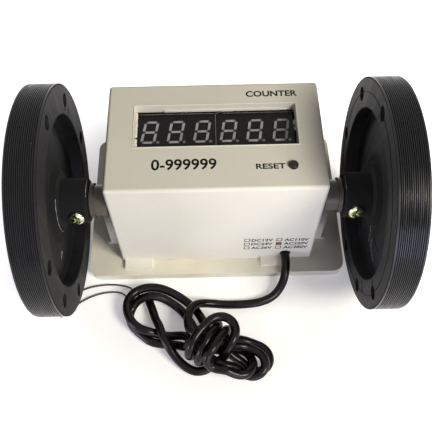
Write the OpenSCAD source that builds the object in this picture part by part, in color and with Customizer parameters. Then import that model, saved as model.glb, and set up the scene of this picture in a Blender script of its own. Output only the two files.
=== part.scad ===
// Electronic length counter: a display box on a cast bracket, with a through shaft that carries
// one measuring wheel on each side. One turn of a wheel is a third of a metre of material.
// Millimetres. The origin is on the underside of the bracket, straight below the shaft.
// +X runs along the shaft to the reader's right, +Y to the back, +Z up.

/* [Bracket] */
// Height of the shaft above the surface
shaft_z = 54; // [50:0.5:70]
// Width of the base plate, along the shaft
plate_w = 132.8; // [120:0.2:134]
// Distance of the plate's front edge in front of the shaft
plate_front = 16; // [12:0.5:30]
// Distance of the plate's back edge behind the shaft
plate_back = 71; // [65:0.5:90]
// Thickness of the base plate
plate_t = 5; // [3:0.1:8]
// Corner radius of the base plate
plate_r = 6; // [2:0.5:8]
// Outer radius of a bearing boss
boss_r = 7.2; // [6.8:0.1:9]
// Distance of a boss's outer end from the middle
boss_end = 57.3; // [55:0.1:60]
// Radius of the lip at a boss's outer end
boss_lip_r = 8.2; // [7.5:0.1:9.5]
// Width of that lip
boss_lip_w = 1.6; // [1:0.1:3]
// Distance of an upright's front edge behind the shaft
upright_front = 3; // [0:0.5:5]
// Distance of an upright's foot behind the shaft, at the back
upright_back = 30; // [20:0.5:45]
// Radius of a fixing hole in the plate
fixing_hole_r = 2.25; // [1.5:0.05:3]
// Distance between the two fixing holes
fixing_spacing = 80; // [40:1:90]
// Distance of the fixing holes from the plate's back edge
fixing_inset = 8.5; // [6:0.5:12]

/* [Box] */
// Width of the display box, along the shaft
box_w = 99; // [90:0.5:99]
// Depth of the box, front to back
box_d = 60; // [56:0.5:70]
// Height of the box above the base plate
box_h = 67.5; // [66:0.5:80]
// Distance of the box's front face in front of the shaft
box_front = 7.5; // [7:0.1:10]
// Thickness of the box's walls
wall_t = 2.5; // [2:0.1:3]
// Radius of the box's edges
box_r = 1.6; // [0.8:0.1:3]
// Width of a fixing lug at the foot of the front face
lug_w = 14; // [6:0.5:18]
// Depth of a fixing lug
lug_d = 5; // [2:0.5:7]
// Thickness of a fixing lug
lug_t = 2.2; // [1:0.1:4]
// Place of the left lug's middle along the shaft
lug_left_x = -40.7; // [-42:0.1:-34]
// Place of the right lug's middle along the shaft
lug_right_x = 30; // [10:0.5:42]
// Width of the vent notch in the front face's foot
notch_w = 3.4; // [1:0.1:6]
// Place of the vent notch along the shaft
notch_x = -24; // [-30:0.5:-10]

/* [Display] */
// Width of the window opening
window_w = 74.8; // [74:0.1:80]
// Depth of the window opening, front to back
window_d = 23.6; // [22:0.1:26]
// Distance of the window's middle behind the shaft
window_y = 27.9; // [26:0.1:32]
// Distance of the window's middle right of the box's middle
window_x = 0.5; // [-2:0.1:2]
// Depth of the display faces below the top of the box
display_sink = 4.3; // [3:0.1:6]
// Width of one three-digit display
module_w = 36.4; // [34:0.1:37]
// Depth of one display, front to back
module_d = 22.8; // [20:0.1:23]
// Height of one display above its board
module_h = 7; // [5:0.1:8]
// Height of a digit
digit_h = 12.7; // [9:0.1:14]
// Width of a digit
digit_w = 6.9; // [5:0.1:8]
// Width of a lit bar in a digit
bar_w = 1.15; // [0.8:0.05:1.6]
// Sideways lean of a digit for each millimetre of height
digit_lean = 0.16; // [0:0.01:0.2]
// Depth of a bar's light guide
bar_t = 0.8; // [0.4:0.1:1.5]
// Distance of the digits' middle behind the shaft
digit_y = 27.5; // [26:0.1:30]

/* [Reset button] */
// Radius of the button
button_r = 2.05; // [1.5:0.05:3]
// Height of the button above the top of the box
button_up = 1.5; // [0.9:0.1:4]
// Travel of the button
button_travel = 0.7; // [0.3:0.1:0.8]
// Place of the button along the shaft
button_x = 34.4; // [30:0.1:36]
// Distance of the button behind the shaft
button_y = 4.4; // [4:0.1:6]

/* [Shaft and bearings] */
// Radius of the shaft
shaft_r = 3; // [2.5:0.05:3.2]
// Length of the shaft
shaft_len = 161; // [160:0.5:166]
// Outer radius of a bearing
bearing_r = 6; // [5.8:0.05:6.2]
// Width of a bearing
bearing_w = 4; // [3:0.1:5]
// Number of balls in a bearing
ball_count = 9; // [6:1:10]
// Radius of a bearing ball
ball_r = 0.8; // [0.6:0.05:0.9]

/* [Wheels] */
// Radius of a wheel over its tread
wheel_r = 53; // [51:0.05:53.5]
// Width of a wheel's rim
rim_w = 13.2; // [10:0.1:15]
// Distance of a rim's inner face from the middle
rim_in = 68.2; // [67.5:0.1:70]
// Radius of the dished part inside the rim
dish_r = 39.4; // [36:0.1:41]
// Depth of the dish on the inner side
dish_depth = 7; // [5:0.1:8]
// Depth of the dish on the outer side
dish_out = 3; // [1:0.1:4]
// Radius of the hub's shoulder
shoulder_r = 14; // [12:0.1:18]
// Radius of the hub
hub_r = 10.5; // [9:0.1:11.5]
// Distance of a hub's inner end from the middle
hub_end = 58.2; // [57.8:0.1:60]
// Number of grooves in the tread
tread_count = 14; // [8:1:16]
// Depth of a tread groove
tread_depth = 0.4; // [0.2:0.05:0.6]
// Radius of a round pocket in the rim's inner face
pocket_r = 3.3; // [2:0.1:4]
// Depth of a pocket
pocket_depth = 2.2; // [1:0.1:4]
// Angle of the middle one of the back three pockets, from the back upwards
pocket_mid_back = 31; // [20:1:40]
// Angle between the back three pockets
pocket_step_back = 46; // [30:1:50]
// Angle of the middle one of the front three pockets, from the back upwards
pocket_mid_front = 229; // [220:1:240]
// Angle between the front three pockets
pocket_step_front = 37; // [30:1:45]
// Turn of the left wheel, which is the same moulding the other way round
wheel_turn_left = 63; // [0:1:359]
// Distance of a hub screw from the middle
screw_x = 63; // [62:0.1:64]
// Angle of a hub screw, from the back upwards
screw_angle = 168; // [120:1:200]
// Radius of a hub screw's head
screw_head_r = 3.4; // [2.6:0.05:3.6]
// Height of a hub screw's head
screw_head_h = 2.4; // [1.5:0.1:3]

/* [Cord] */
// Radius of the supply cord
cord_r = 2.2; // [1.8:0.05:2.4]
// Place of the cord's exit along the shaft
cord_x = 35.6; // [35:0.1:36]
// Height of the cord's exit above the surface
cord_z = 10; // [9.5:0.1:10.5]
// Radius of a bare-ended wire
wire_r = 0.7; // [0.5:0.05:0.9]

/* [Hidden] */
$fn = 96;

// Clearances: a face that only lies against its neighbour, a turning fit and a loose screw hole.
gap = 0.3;
fit = 0.05;
loose = 0.15;
eps = 0.01;

// Places that follow from the sizes above.
box_top = plate_t + box_h;
box_back = box_d - box_front;
box_mid_y = box_back - box_d / 2;
inner_top = box_top - wall_t;
face_z = box_top - display_sink;
board_t = 1.6;
display_board_top = face_z - module_h;
display_board_z = display_board_top - board_t;
fixing_y = plate_back - fixing_inset;

// Display board: it fills the box from the back wall to just in front of the reset switch.
board_edge = 3.5;
switch_w = 6;
switch_h = 3.5;
display_board_w = box_w - 2 * wall_t - 4;
display_board_front = button_y - switch_w / 2 - 0.9;
display_board_back = box_back - wall_t - gap;

// Inner posts of the box: four from the foot that take the cover screws and four from the top
// that carry the display board.
post_r = 3.4;
post_h = 30;
post_x = box_w / 2 - wall_t - post_r + 0.6;
post_front = -box_front + wall_t + post_r - 0.6;
post_back = box_back - wall_t - post_r + 0.6;
cover_screw_r = 1.5;
cover_head_r = 2.8;
cover_head_h = 1.8;
cover_screw_len = 10;
cover_screw_hole = 9;
hanger_r = 2.8;
hanger_x = display_board_w / 2 - board_edge;
hanger_front = display_board_front + board_edge;
hanger_back = display_board_back - board_edge;
board_screw_r = 1.2;
board_screw_len = 5;

// Main board on four pillars of the base plate.
pillar_h = 11;
main_board_z = plate_t + pillar_h;
main_board_w = 80;
main_board_d = 31;
main_board_back = post_back - post_r - 0.8;
main_board_front = main_board_back - main_board_d;
pillar_r = 3;
pillar_x = main_board_w / 2 - board_edge;
pillar_front = main_board_front + board_edge;
pillar_back = main_board_back - board_edge;

// Rim of the window: a collar that hangs below the top of the box, round the displays.
collar_t = 1.6;
collar_z = face_z - 2.2;
module_gap = 0.2;
digit_pitch = module_w / 3;
bar_gap = 0.25;
dot_r = 0.75;

// Bearing: the races and the balls between them.
inner_race_r = shaft_r + 1;
race_gap = 0.1;
outer_race_r = inner_race_r + 1.1;
ball_mid_r = (inner_race_r + outer_race_r) / 2;
shield_t = 0.4;
bearing_x = boss_end - bearing_w - 0.2;
shoulder_bore_r = bearing_r - 0.8;
ring_t = 0.8;
ring_r = inner_race_r;
race_proud = 0.2;

// Wheel: the tread's grooves, the web and the hub's bore.
tread_edge = 0.9;
tread_pitch = (rim_w - 2 * tread_edge) / tread_count;
tread_groove = tread_pitch * 0.55;
web_rise = 2;
pocket_ring_r = (wheel_r + dish_r) / 2;
hub_out_r = 12;
hub_seat = sqrt(hub_r * hub_r - screw_head_r * screw_head_r) - 0.05;
screw_r = 2;

// Route of the cord from its exit to the hank, along the plate and the surface. The first
// point is the exit. The others are round numbers chosen by hand.
cord_route = [[cord_x, -box_front, cord_z], [35.6, -12, 10], [35.2, -17, 8.6], [34, -21.5, 6],
              [31.5, -25.5, 3.6], [27.5, -29, 2.4], [21, -31.5, 2.2], [13, -32.4, 2.2],
              [5, -32.4, 2.2], [-1, -32.2, 3], [-7.8, -32.6, 5.2], [-12.5, -35.4, 8.2]];
wire_long_route = [[-41.5, -25, 0.8], [-45, -21.6, 0.8], [-50, -19.8, 0.8], [-56, -19.2, 0.8],
                   [-62, -19.6, 0.8], [-68, -21, 0.8], [-74, -24, 0.8]];
wire_short_route = [[-45, -28, 0.8], [-49, -24.6, 0.8], [-54, -23.4, 0.8], [-60, -24, 0.8],
                    [-66, -26, 0.8], [-72, -29.5, 0.8], [-77, -34, 0.8]];
// Round parts of the hank's outline: left loop, middle and right loop, each with its radius and
// height. The knot round the middle is a lying barrel that touches the surface.
hank_rounds = [[-30.5, -38, 18.5, 9.5], [-8, -56, 13.5, 14], [13.5, -60, 13.2, 11.5]];
knot_at = [-3.5, -56.3];
knot_turn = -30;
knot_r = 5 * cord_r;
knot_len = 20;

// Vector helpers and the rings of a swept tube. Each ring stands square to the route's
// direction at its point, with the direction taken from the neighbouring points.
function unit(v) = v / norm(v);
function heading(path, i) =
    unit(path[min(i + 1, len(path) - 1)] - path[max(i - 1, 0)]);
function side(dir) = unit(cross(dir, [0, 0, 1]));
function ring(centre, dir, r, n) =
    let (a = side(dir), b = cross(a, dir))
    [for (k = [0 : n - 1]) centre + r * (cos(360 * k / n) * a + sin(360 * k / n) * b)];

module tube(path, r, sides) {
    rings = len(path);
    points = [for (i = [0 : rings - 1]) each ring(path[i], heading(path, i), r, sides)];
    walls = [for (i = [0 : rings - 2], k = [0 : sides - 1])
        let (a = i * sides + k, b = i * sides + (k + 1) % sides)
        [a, b, b + sides, a + sides]];
    start = [for (k = [sides - 1 : -1 : 0]) k];
    end = [for (k = [0 : sides - 1]) (rings - 1) * sides + k];
    polyhedron(points = points, faces = concat([start], walls, [end]), convexity = 4);
}

// A solid of revolution about the shaft's line. The profile gives distance from the middle
// along the shaft and radius, and flip puts it on the left side.
module about_shaft(profile, flip = false) {
    translate([0, 0, shaft_z])
        mirror([flip ? 1 : 0, 0, 0])
            rotate([90, 0, 90])
                rotate_extrude()
                    polygon([for (p = profile) [p[1], p[0]]]);
}

module ring_about_shaft(x0, x1, r_in, r_out, flip = false) {
    about_shaft([[x0, r_in], [x0, r_out], [x1, r_out], [x1, r_in]], flip);
}

module rod_along_shaft(x0, x1, r) {
    translate([x0, 0, shaft_z]) rotate([0, 90, 0]) cylinder(h = x1 - x0, r = r);
}

// A plate with four round corners, from its low corner.
module round_plate(x0, y0, w, d, t, r) {
    translate([x0, y0, 0]) {
        translate([r, 0, 0]) cube([w - 2 * r, d, t]);
        translate([0, r, 0]) cube([w, d - 2 * r, t]);
        for (x = [r, w - r], y = [r, d - r]) translate([x, y, 0]) cylinder(h = t, r = r);
    }
}

module both_sides() {
    for (s = [0, 1]) mirror([s, 0, 0]) children();
}

// The profile of an upright, seen along the shaft: a web that leans back from the boss to
// a wide foot.
module upright_profile() {
    polygon([[upright_front, plate_t - 1], [upright_back, plate_t - 1], [upright_back, plate_t + 3],
             [boss_r * cos(35), shaft_z + boss_r * sin(35)], [upright_front, shaft_z]]);
}

module upright() {
    inner = box_w / 2 + gap;
    translate([inner, 0, 0])
        rotate([90, 0, 90]) linear_extrude(boss_end - boss_lip_w - inner) upright_profile();
    rod_along_shaft(inner, boss_end, boss_r);
    rod_along_shaft(boss_end - boss_lip_w, boss_end, boss_lip_r);
    // Foot of the upright, one step wider than its web.
    translate([inner, upright_front, plate_t - 1])
        cube([boss_end - inner, upright_back - upright_front, 2.4]);
}

module base_frame() {
    color("#c9c6b6") difference() {
        union() {
            round_plate(-plate_w / 2, -plate_front, plate_w, plate_front + plate_back, plate_t, plate_r);
            both_sides() upright();
            for (x = [-pillar_x, pillar_x], y = [pillar_front, pillar_back])
                translate([x, y, plate_t - 1]) cylinder(h = main_board_z - plate_t + 1, r = pillar_r);
        }
        both_sides() {
            rod_along_shaft(bearing_x, boss_end + 1, bearing_r);
            rod_along_shaft(box_w / 2, bearing_x + eps, shoulder_bore_r);
        }
        for (x = [-pillar_x, pillar_x], y = [pillar_front, pillar_back])
            translate([x, y, main_board_z - board_screw_len])
                cylinder(h = board_screw_len + 1, r = board_screw_r + fit);
        for (x = [-fixing_spacing / 2, fixing_spacing / 2])
            translate([x, fixing_y, -1]) cylinder(h = plate_t + 2, r = fixing_hole_r);
        cover_screw_places() {
            translate([0, 0, -1]) cylinder(h = plate_t + 2, r = cover_screw_r + loose);
            translate([0, 0, -1]) cylinder(h = cover_head_h + 1 + gap, r = cover_head_r + gap);
        }
    }
}

module cover_screw_places() {
    for (x = [-post_x, post_x], y = [post_front, post_back]) translate([x, y, 0]) children();
}

module hanger_places() {
    for (x = [-hanger_x, hanger_x], y = [hanger_front, hanger_back]) translate([x, y, 0]) children();
}

// The outside of the box: upright edges and top edges share one radius.
module box_outside() {
    hull() {
        for (x = [-box_w / 2 + box_r, box_w / 2 - box_r], y = [-box_front + box_r, box_back - box_r]) {
            translate([x, y, plate_t]) cylinder(h = 1, r = box_r, $fn = 32);
            translate([x, y, box_top - box_r]) sphere(r = box_r, $fn = 32);
        }
    }
}

module window_cut(grow, z0, z1) {
    translate([window_x - window_w / 2 - grow, window_y - window_d / 2 - grow, z0])
        cube([window_w + 2 * grow, window_d + 2 * grow, z1 - z0]);
}

module lug(x) {
    translate([x - lug_w / 2, -box_front - lug_d, plate_t]) cube([lug_w, lug_d + wall_t / 2, lug_t]);
}

module housing() {
    color("#d8d4c6") difference() {
        union() {
            difference() {
                box_outside();
                translate([-box_w / 2 + wall_t, -box_front + wall_t, plate_t - 1])
                    cube([box_w - 2 * wall_t, box_d - 2 * wall_t, inner_top - plate_t + 1]);
            }
            window_cut(collar_t, collar_z, inner_top + 1);
            cover_screw_places() translate([0, 0, plate_t]) cylinder(h = post_h, r = post_r);
            hanger_places() translate([0, 0, display_board_top])
                cylinder(h = inner_top - display_board_top + 1, r = hanger_r);
            lug(lug_left_x);
            lug(lug_right_x);
        }
        window_cut(0, collar_z - 1, box_top + 1);
        cover_screw_places() translate([0, 0, plate_t - 1])
            cylinder(h = cover_screw_hole, r = cover_screw_r + fit);
        hanger_places() translate([0, 0, display_board_top - 1])
            cylinder(h = board_screw_len, r = board_screw_r + fit);
        translate([button_x, button_y, inner_top - 1]) cylinder(h = wall_t + 2, r = button_r + loose);
        rod_along_shaft(-box_w / 2 - 1, box_w / 2 + 1, shaft_r + 1);
        translate([cord_x, -box_front - 1, cord_z]) rotate([-90, 0, 0])
            cylinder(h = wall_t + 2, r = cord_r + 0.6 + fit);
        translate([notch_x - notch_w / 2, -box_front - 1, plate_t - 1]) cube([notch_w, wall_t + 2, 2]);
    }
}

// A countersunk-free cheese-head screw that points along +Z, with its head below z = 0.
module screw_up(r, len, head_r, head_h) {
    difference() {
        union() {
            translate([0, 0, -head_h]) cylinder(h = head_h + len, r = r);
            translate([0, 0, -head_h]) cylinder(h = head_h, r = head_r);
        }
        for (a = [0, 90]) rotate([0, 0, a])
            translate([-head_r * 0.55, -head_r * 0.11, -head_h - 1]) cube([head_r * 1.1, head_r * 0.22, 1.8]);
    }
}

module cover_screws() {
    color("#b9b9b4") cover_screw_places() translate([0, 0, cover_head_h + gap])
        screw_up(cover_screw_r, cover_screw_len, cover_head_r, cover_head_h);
}

// One digit's seven bars as six-sided outlines. A bar runs from a to b, pointed at both ends.
function lean(p) = [p[0] + digit_lean * p[1], p[1]];
function bar_outline(a, b) =
    let (d = unit(b - a), n = [-d[1], d[0]] * bar_w / 2, s = a + d * bar_gap, e = b - d * bar_gap)
    [s, s + d * bar_w / 2 + n, e - d * bar_w / 2 + n, e, e - d * bar_w / 2 - n, s + d * bar_w / 2 - n];
digit_x = (digit_w - bar_w) / 2;
digit_half = (digit_h - bar_w) / 2;
digit_nodes = [[-digit_x, digit_half], [digit_x, digit_half], [-digit_x, 0], [digit_x, 0],
               [-digit_x, -digit_half], [digit_x, -digit_half]];
digit_bar_ends = [[0, 1], [2, 3], [4, 5], [0, 2], [1, 3], [2, 4], [3, 5]];

module digit_outlines(grow) {
    for (e = digit_bar_ends) {
        outline = bar_outline(digit_nodes[e[0]], digit_nodes[e[1]]);
        middle = (outline[0] + outline[3]) / 2;
        scale_by = 1 + grow / (bar_w / 2);
        polygon([for (p = outline)
            let (v = p - middle, d = unit(outline[3] - outline[0]), along = v * d,
                 across = v - along * d)
            lean(middle + d * (along + sign(along) * grow) + across * scale_by)]);
    }
    translate(lean([digit_x + bar_w + dot_r * 0.9, -digit_half])) circle(r = dot_r + grow, $fn = 24);
}

// Places of the six digits, each in its third of a display.
digit_places = [for (m = [-1, 1], k = [-1, 0, 1])
    window_x + m * (module_w + module_gap) / 2 + k * digit_pitch];

module display(side_sign) {
    x0 = window_x + side_sign * (module_w + module_gap) / 2 - module_w / 2;
    color("#17161a") difference() {
        translate([x0, window_y - module_d / 2, display_board_top])
            cube([module_w, module_d, module_h]);
        for (k = [0 : 2])
            translate([digit_places[(side_sign + 1) / 2 * 3 + k], digit_y, face_z - bar_t])
                linear_extrude(bar_t + 1) digit_outlines(fit);
    }
}

module display_left() { display(-1); }
module display_right() { display(1); }

module digit_bars() {
    color("#8f8b98") for (x = digit_places)
        translate([x, digit_y, face_z - bar_t]) linear_extrude(bar_t) digit_outlines(0);
}

module display_board() {
    color("#2f6b3f") difference() {
        translate([-display_board_w / 2, display_board_front, display_board_z])
            cube([display_board_w, display_board_back - display_board_front, board_t]);
        hanger_places() translate([0, 0, display_board_z - 1])
            cylinder(h = board_t + 2, r = board_screw_r + loose);
    }
}

module display_board_screws() {
    color("#b9b9b4") hanger_places()
        translate([0, 0, display_board_z]) screw_up(board_screw_r, board_screw_len, 2.2, 1.4);
}

// Reset button: a plain stem through the top, with a collar that stops it under the top wall.
collar_h = 1;
button_foot = inner_top - collar_h - 0.2 - 1.5;
switch_top = display_board_top + switch_h;
plunger_r = 1.7;
module reset_button() {
    color("#1b1a18") translate([button_x, button_y, 0]) {
        translate([0, 0, button_foot]) cylinder(h = box_top + button_up - button_foot - 0.4, r = button_r);
        translate([0, 0, box_top + button_up - 0.4])
            cylinder(h = 0.4, r1 = button_r, r2 = button_r - 0.4);
        translate([0, 0, inner_top - collar_h - 0.2]) cylinder(h = collar_h, r = button_r + 1.2);
    }
}

module switch_plunger() {
    color("#3a3a38") translate([button_x, button_y, switch_top - 1.2])
        cylinder(h = button_foot - switch_top + 1.2, r = plunger_r);
}

module reset_switch() {
    color("#2a2a2c") difference() {
        translate([button_x - switch_w / 2, button_y - switch_w / 2, display_board_top])
            cube([switch_w, switch_w, switch_h]);
        translate([button_x, button_y, switch_top - 2.4]) cylinder(h = 3, r = plunger_r + 0.1);
    }
}

module main_board() {
    color("#2f6b3f") difference() {
        translate([-main_board_w / 2, main_board_front, main_board_z])
            cube([main_board_w, main_board_back - main_board_front, board_t]);
        for (x = [-pillar_x, pillar_x], y = [pillar_front, pillar_back])
            translate([x, y, main_board_z - 1]) cylinder(h = board_t + 2, r = board_screw_r + loose);
    }
}

module main_board_screws() {
    color("#b9b9b4") for (x = [-pillar_x, pillar_x], y = [pillar_front, pillar_back])
        translate([x, y, main_board_z + board_t]) mirror([0, 0, 1])
            screw_up(board_screw_r, board_screw_len, 2.2, 1.4);
}

// Mains transformer: a stack of E and I plates round a wound bobbin.
core_w = 30;
core_d = 14;
core_h = 25;
core_from_end = 9;
core_x = core_from_end + core_w / 2 - main_board_w / 2;
core_y = main_board_back - core_d;
core_z = main_board_z + board_t;
limb_w = core_w / 6;
module transformer_core() {
    color("#77787c") difference() {
        translate([core_x - core_w / 2, core_y - core_d / 2, core_z]) cube([core_w, core_d, core_h]);
        for (s = [-1, 1])
            translate([core_x + s * 1.5 * limb_w - limb_w / 2, core_y - core_d / 2 - 1, core_z + limb_w])
                cube([limb_w, core_d + 2, core_h - 2 * limb_w]);
    }
}

module transformer_winding() {
    clear = gap;
    out = limb_w - clear;
    color("#c9a23c") difference() {
        translate([core_x - limb_w - out, core_y - core_d / 2 - out, core_z + limb_w + clear])
            cube([2 * (limb_w + out), core_d + 2 * out, core_h - 2 * limb_w - 2 * clear]);
        translate([core_x - limb_w - fit, core_y - core_d / 2 - fit, core_z])
            cube([2 * (limb_w + fit), core_d + 2 * fit, core_h]);
    }
}

// Smoothing capacitors: the largest beside the transformer, and two smaller ones behind.
capacitor_r = 5;
capacitor_h = 16;
capacitor_space = 1.5;
module capacitor(x, from_back, share) {
    translate([x, main_board_back - from_back, core_z])
        cylinder(h = capacitor_h * share, r = capacitor_r * share);
}

module capacitors() {
    color("#3b4a78") {
        capacitor(core_x + core_w / 2 + capacitor_space + capacitor_r, main_board_d * 0.78, 1);
        capacitor(main_board_w / 2 - capacitor_r * 3.8, main_board_d * 0.18, 0.8);
        capacitor(main_board_w / 2 - capacitor_r * 2, main_board_d * 0.16, 0.6);
    }
}

chip_w = 18;
chip_d = 8;
chip_h = 3.4;
chip_from_end = 6;
chip_from_back = 11;
module controller_chip() {
    color("#232325")
        translate([main_board_w / 2 - chip_w - chip_from_end,
                   main_board_back - chip_d - chip_from_back, core_z])
            cube([chip_w, chip_d, chip_h]);
}

// Screw terminals for the supply wires.
terminal_w = 10;
terminal_d = 8;
terminal_h = 9;
terminal_x = main_board_w / 2 - board_edge - pillar_r - 1.5 - terminal_w;
terminal_y = main_board_front + 1;
module terminal_block() {
    color("#3f8a4a") difference() {
        translate([terminal_x, terminal_y, core_z]) cube([terminal_w, terminal_d, terminal_h]);
        for (x = [terminal_x + terminal_w / 4, terminal_x + terminal_w * 3 / 4]) {
            translate([x, terminal_y - 1, core_z + terminal_h / 3]) rotate([-90, 0, 0])
                cylinder(h = terminal_d / 2 + 1, r = terminal_w * 0.14);
            translate([x, terminal_y + terminal_d / 2, core_z + terminal_h / 2])
                cylinder(h = terminal_h, r = terminal_w * 0.15);
        }
    }
}

ribbon_w = 26;
ribbon_t = 1.2;
ribbon_h = display_board_z - core_z;
module ribbon_cable() {
    color("#8d8f93") translate([-ribbon_w / 2 - ribbon_t, main_board_back - 1.5 * ribbon_t, core_z])
        cube([ribbon_w, ribbon_t, ribbon_h]);
}

magnet_x = -14;
magnet_w = 5;
magnet_r = 4.4;
module magnet_ring() {
    color("#3c3c40") ring_about_shaft(magnet_x, magnet_x + magnet_w, shaft_r + fit, magnet_r);
}

sensor_w = 4;
sensor_t = 1.6;
sensor_h = 5.5;
module hall_sensor() {
    color("#232325")
        translate([magnet_x + (magnet_w - sensor_w) / 2, magnet_r + sensor_t / 2, display_board_z - sensor_h])
            cube([sensor_w, sensor_t, sensor_h]);
}

// Gland of the cord: a bush in the front wall, level with its outside, with a head inside.
gland_r = cord_r + 0.6;
module cord_gland() {
    color("#1c1b1b") translate([cord_x, -box_front, cord_z]) rotate([-90, 0, 0]) {
        cylinder(h = wall_t + gap + 4, r = gland_r);
        translate([0, 0, wall_t + gap]) cylinder(h = 3, r = gland_r + 1.2);
    }
}

// Ball bearing: the outer race with its groove and both shields, and the balls.
module bearing(flip) {
    x0 = bearing_x;
    x1 = bearing_x + bearing_w;
    color("#aeb0b2") {
        about_shaft([[x0, bearing_r - fit], [x1, bearing_r - fit], [x1, inner_race_r + race_gap],
                     [x1 - shield_t, inner_race_r + race_gap], [x1 - shield_t, outer_race_r],
                     [x0 + shield_t, outer_race_r], [x0 + shield_t, inner_race_r + race_gap],
                     [x0, inner_race_r + race_gap]], flip);
    }
    color("#d5d7d9") translate([0, 0, shaft_z]) mirror([flip ? 1 : 0, 0, 0])
        for (k = [0 : ball_count - 1])
            rotate([360 * k / ball_count, 0, 0])
                translate([(x0 + x1) / 2, outer_race_r - ball_r - fit, 0]) sphere(r = ball_r - fit, $fn = 24);
}

module bearing_left() { bearing(true); }
module bearing_right() { bearing(false); }

module race(flip) {
    x0 = bearing_x;
    x1 = bearing_x + bearing_w + race_proud;
    groove = inner_race_r - 0.45;
    color("#c4c6c8")
        about_shaft([[x0, shaft_r + fit], [x0, inner_race_r], [x0 + bearing_w / 2 - 0.9, inner_race_r],
                     [x0 + bearing_w / 2 - 0.5, groove], [x0 + bearing_w / 2 + 0.5, groove],
                     [x0 + bearing_w / 2 + 0.9, inner_race_r], [x1, inner_race_r], [x1, shaft_r + fit]],
                    flip);
}

module race_left() { race(true); }
module race_right() { race(false); }

module shaft() {
    end = shaft_len / 2;
    color("#b4b6b8")
        about_shaft([[-end, 0], [-end, shaft_r - 0.5], [-end + 0.5, shaft_r], [end - 0.5, shaft_r],
                     [end, shaft_r - 0.5], [end, 0]]);
}

module retaining_rings() {
    color("#8a8c8f") for (flip = [true, false])
        ring_about_shaft(bearing_x - ring_t, bearing_x, shaft_r + fit, ring_r, flip);
}

module hub_washers() {
    color("#c9cbcd") for (flip = [true, false])
        ring_about_shaft(bearing_x + bearing_w + race_proud, hub_end, shaft_r + fit,
                         inner_race_r + 0.9, flip);
}

// Measuring wheel, turned about the shaft: a grooved tread, a rim with round pockets, a dished
// web and a stepped hub that reaches in beside the bearing.
function groove_points(i) =
    let (x = rim_in + tread_edge + (i + 0.5) * tread_pitch)
    [[x - tread_groove / 2, wheel_r], [x - tread_groove / 6, wheel_r - tread_depth],
     [x + tread_groove / 6, wheel_r - tread_depth], [x + tread_groove / 2, wheel_r]];
rim_out = rim_in + rim_w;
function wheel_profile() = concat(
    [[hub_end, shaft_r + fit], [hub_end, hub_r - 0.8], [hub_end + 0.8, hub_r],
     [rim_in + 2, hub_r], [rim_in + 2.6, shoulder_r], [rim_in + dish_depth - web_rise, shoulder_r + 1.6],
     [rim_in + dish_depth, dish_r - 1.2], [rim_in + dish_depth - 1, dish_r], [rim_in + 0.4, dish_r],
     [rim_in, dish_r + 0.4], [rim_in, wheel_r - 0.5], [rim_in + 0.3, wheel_r]],
    [for (i = [0 : tread_count - 1]) each groove_points(i)],
    [[rim_out - 0.3, wheel_r], [rim_out, wheel_r - 0.5], [rim_out, dish_r + 2.4],
     [rim_out - 0.6, dish_r + 1.6], [rim_out - dish_out, dish_r + 1.2], [rim_out - dish_out, hub_out_r + 1],
     [rim_out - 0.6, hub_out_r], [rim_out, hub_out_r - 0.6], [rim_out, shaft_r + fit]]);

pocket_angles = [for (k = [-1 : 1]) each [pocket_mid_back + k * pocket_step_back,
                                           pocket_mid_front + k * pocket_step_front]];
module wheel(flip) {
    color("#232326") difference() {
        about_shaft(wheel_profile(), flip);
        translate([0, 0, shaft_z]) mirror([flip ? 1 : 0, 0, 0]) {
            for (angle = pocket_angles)
                rotate([flip ? wheel_turn_left - angle : angle, 0, 0])
                    translate([rim_in - 1, pocket_ring_r, 0]) rotate([0, 90, 0])
                        cylinder(h = pocket_depth + 1, r = pocket_r, $fn = 32);
            rotate([screw_angle, 0, 0]) translate([screw_x, 0, 0]) rotate([-90, 0, 0]) {
                translate([0, 0, hub_seat]) cylinder(h = hub_r, r = screw_head_r + 0.1);
                translate([0, 0, shaft_r]) cylinder(h = hub_r, r = screw_r + fit);
            }
        }
    }
}

module wheel_left() { wheel(true); }
module wheel_right() { wheel(false); }

// Hub screw: a pan head with a cross recess, its point against the shaft.
module hub_screw() {
    top = hub_seat + screw_head_h;
    difference() {
        rotate_extrude() polygon([[0, shaft_r + fit], [screw_r, shaft_r + fit], [screw_r, hub_seat],
                                  [screw_head_r, hub_seat], [screw_head_r, top - 0.8],
                                  [screw_head_r - 0.35, top - 0.35], [screw_head_r - 1.1, top - 0.05],
                                  [0, top]]);
        for (a = [0, 90]) rotate([0, 0, a + 45])
            translate([-2, -0.45, hub_seat + screw_head_h - 1.3]) cube([4, 0.9, 2]);
    }
}

module hub_screws() {
    color("#cdb74e") for (s = [0, 1])
        translate([0, 0, shaft_z]) mirror([s, 0, 0])
            rotate([screw_angle, 0, 0]) translate([screw_x, 0, 0]) rotate([-90, 0, 0]) hub_screw();
}

module power_cord() {
    color("#1c1a1b") tube(cord_route, cord_r, 12);
}

// Hank of the cord: the outer shape of its loops as they lie.
module cord_hank() {
    color("#1c1a1b") {
        hull() for (c = hank_rounds)
            translate([c[0], c[1]]) cylinder(h = c[3], r = c[2], $fn = 32);
        translate([knot_at[0], knot_at[1], knot_r]) rotate([0, 0, knot_turn]) rotate([0, 90, 0])
            cylinder(h = knot_len, r = knot_r, center = true, $fn = 32);
    }
}

module wire_long() { color("#33302f") tube(wire_long_route, wire_r, 8); }
module wire_short() { color("#33302f") tube(wire_short_route, wire_r, 8); }

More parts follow.
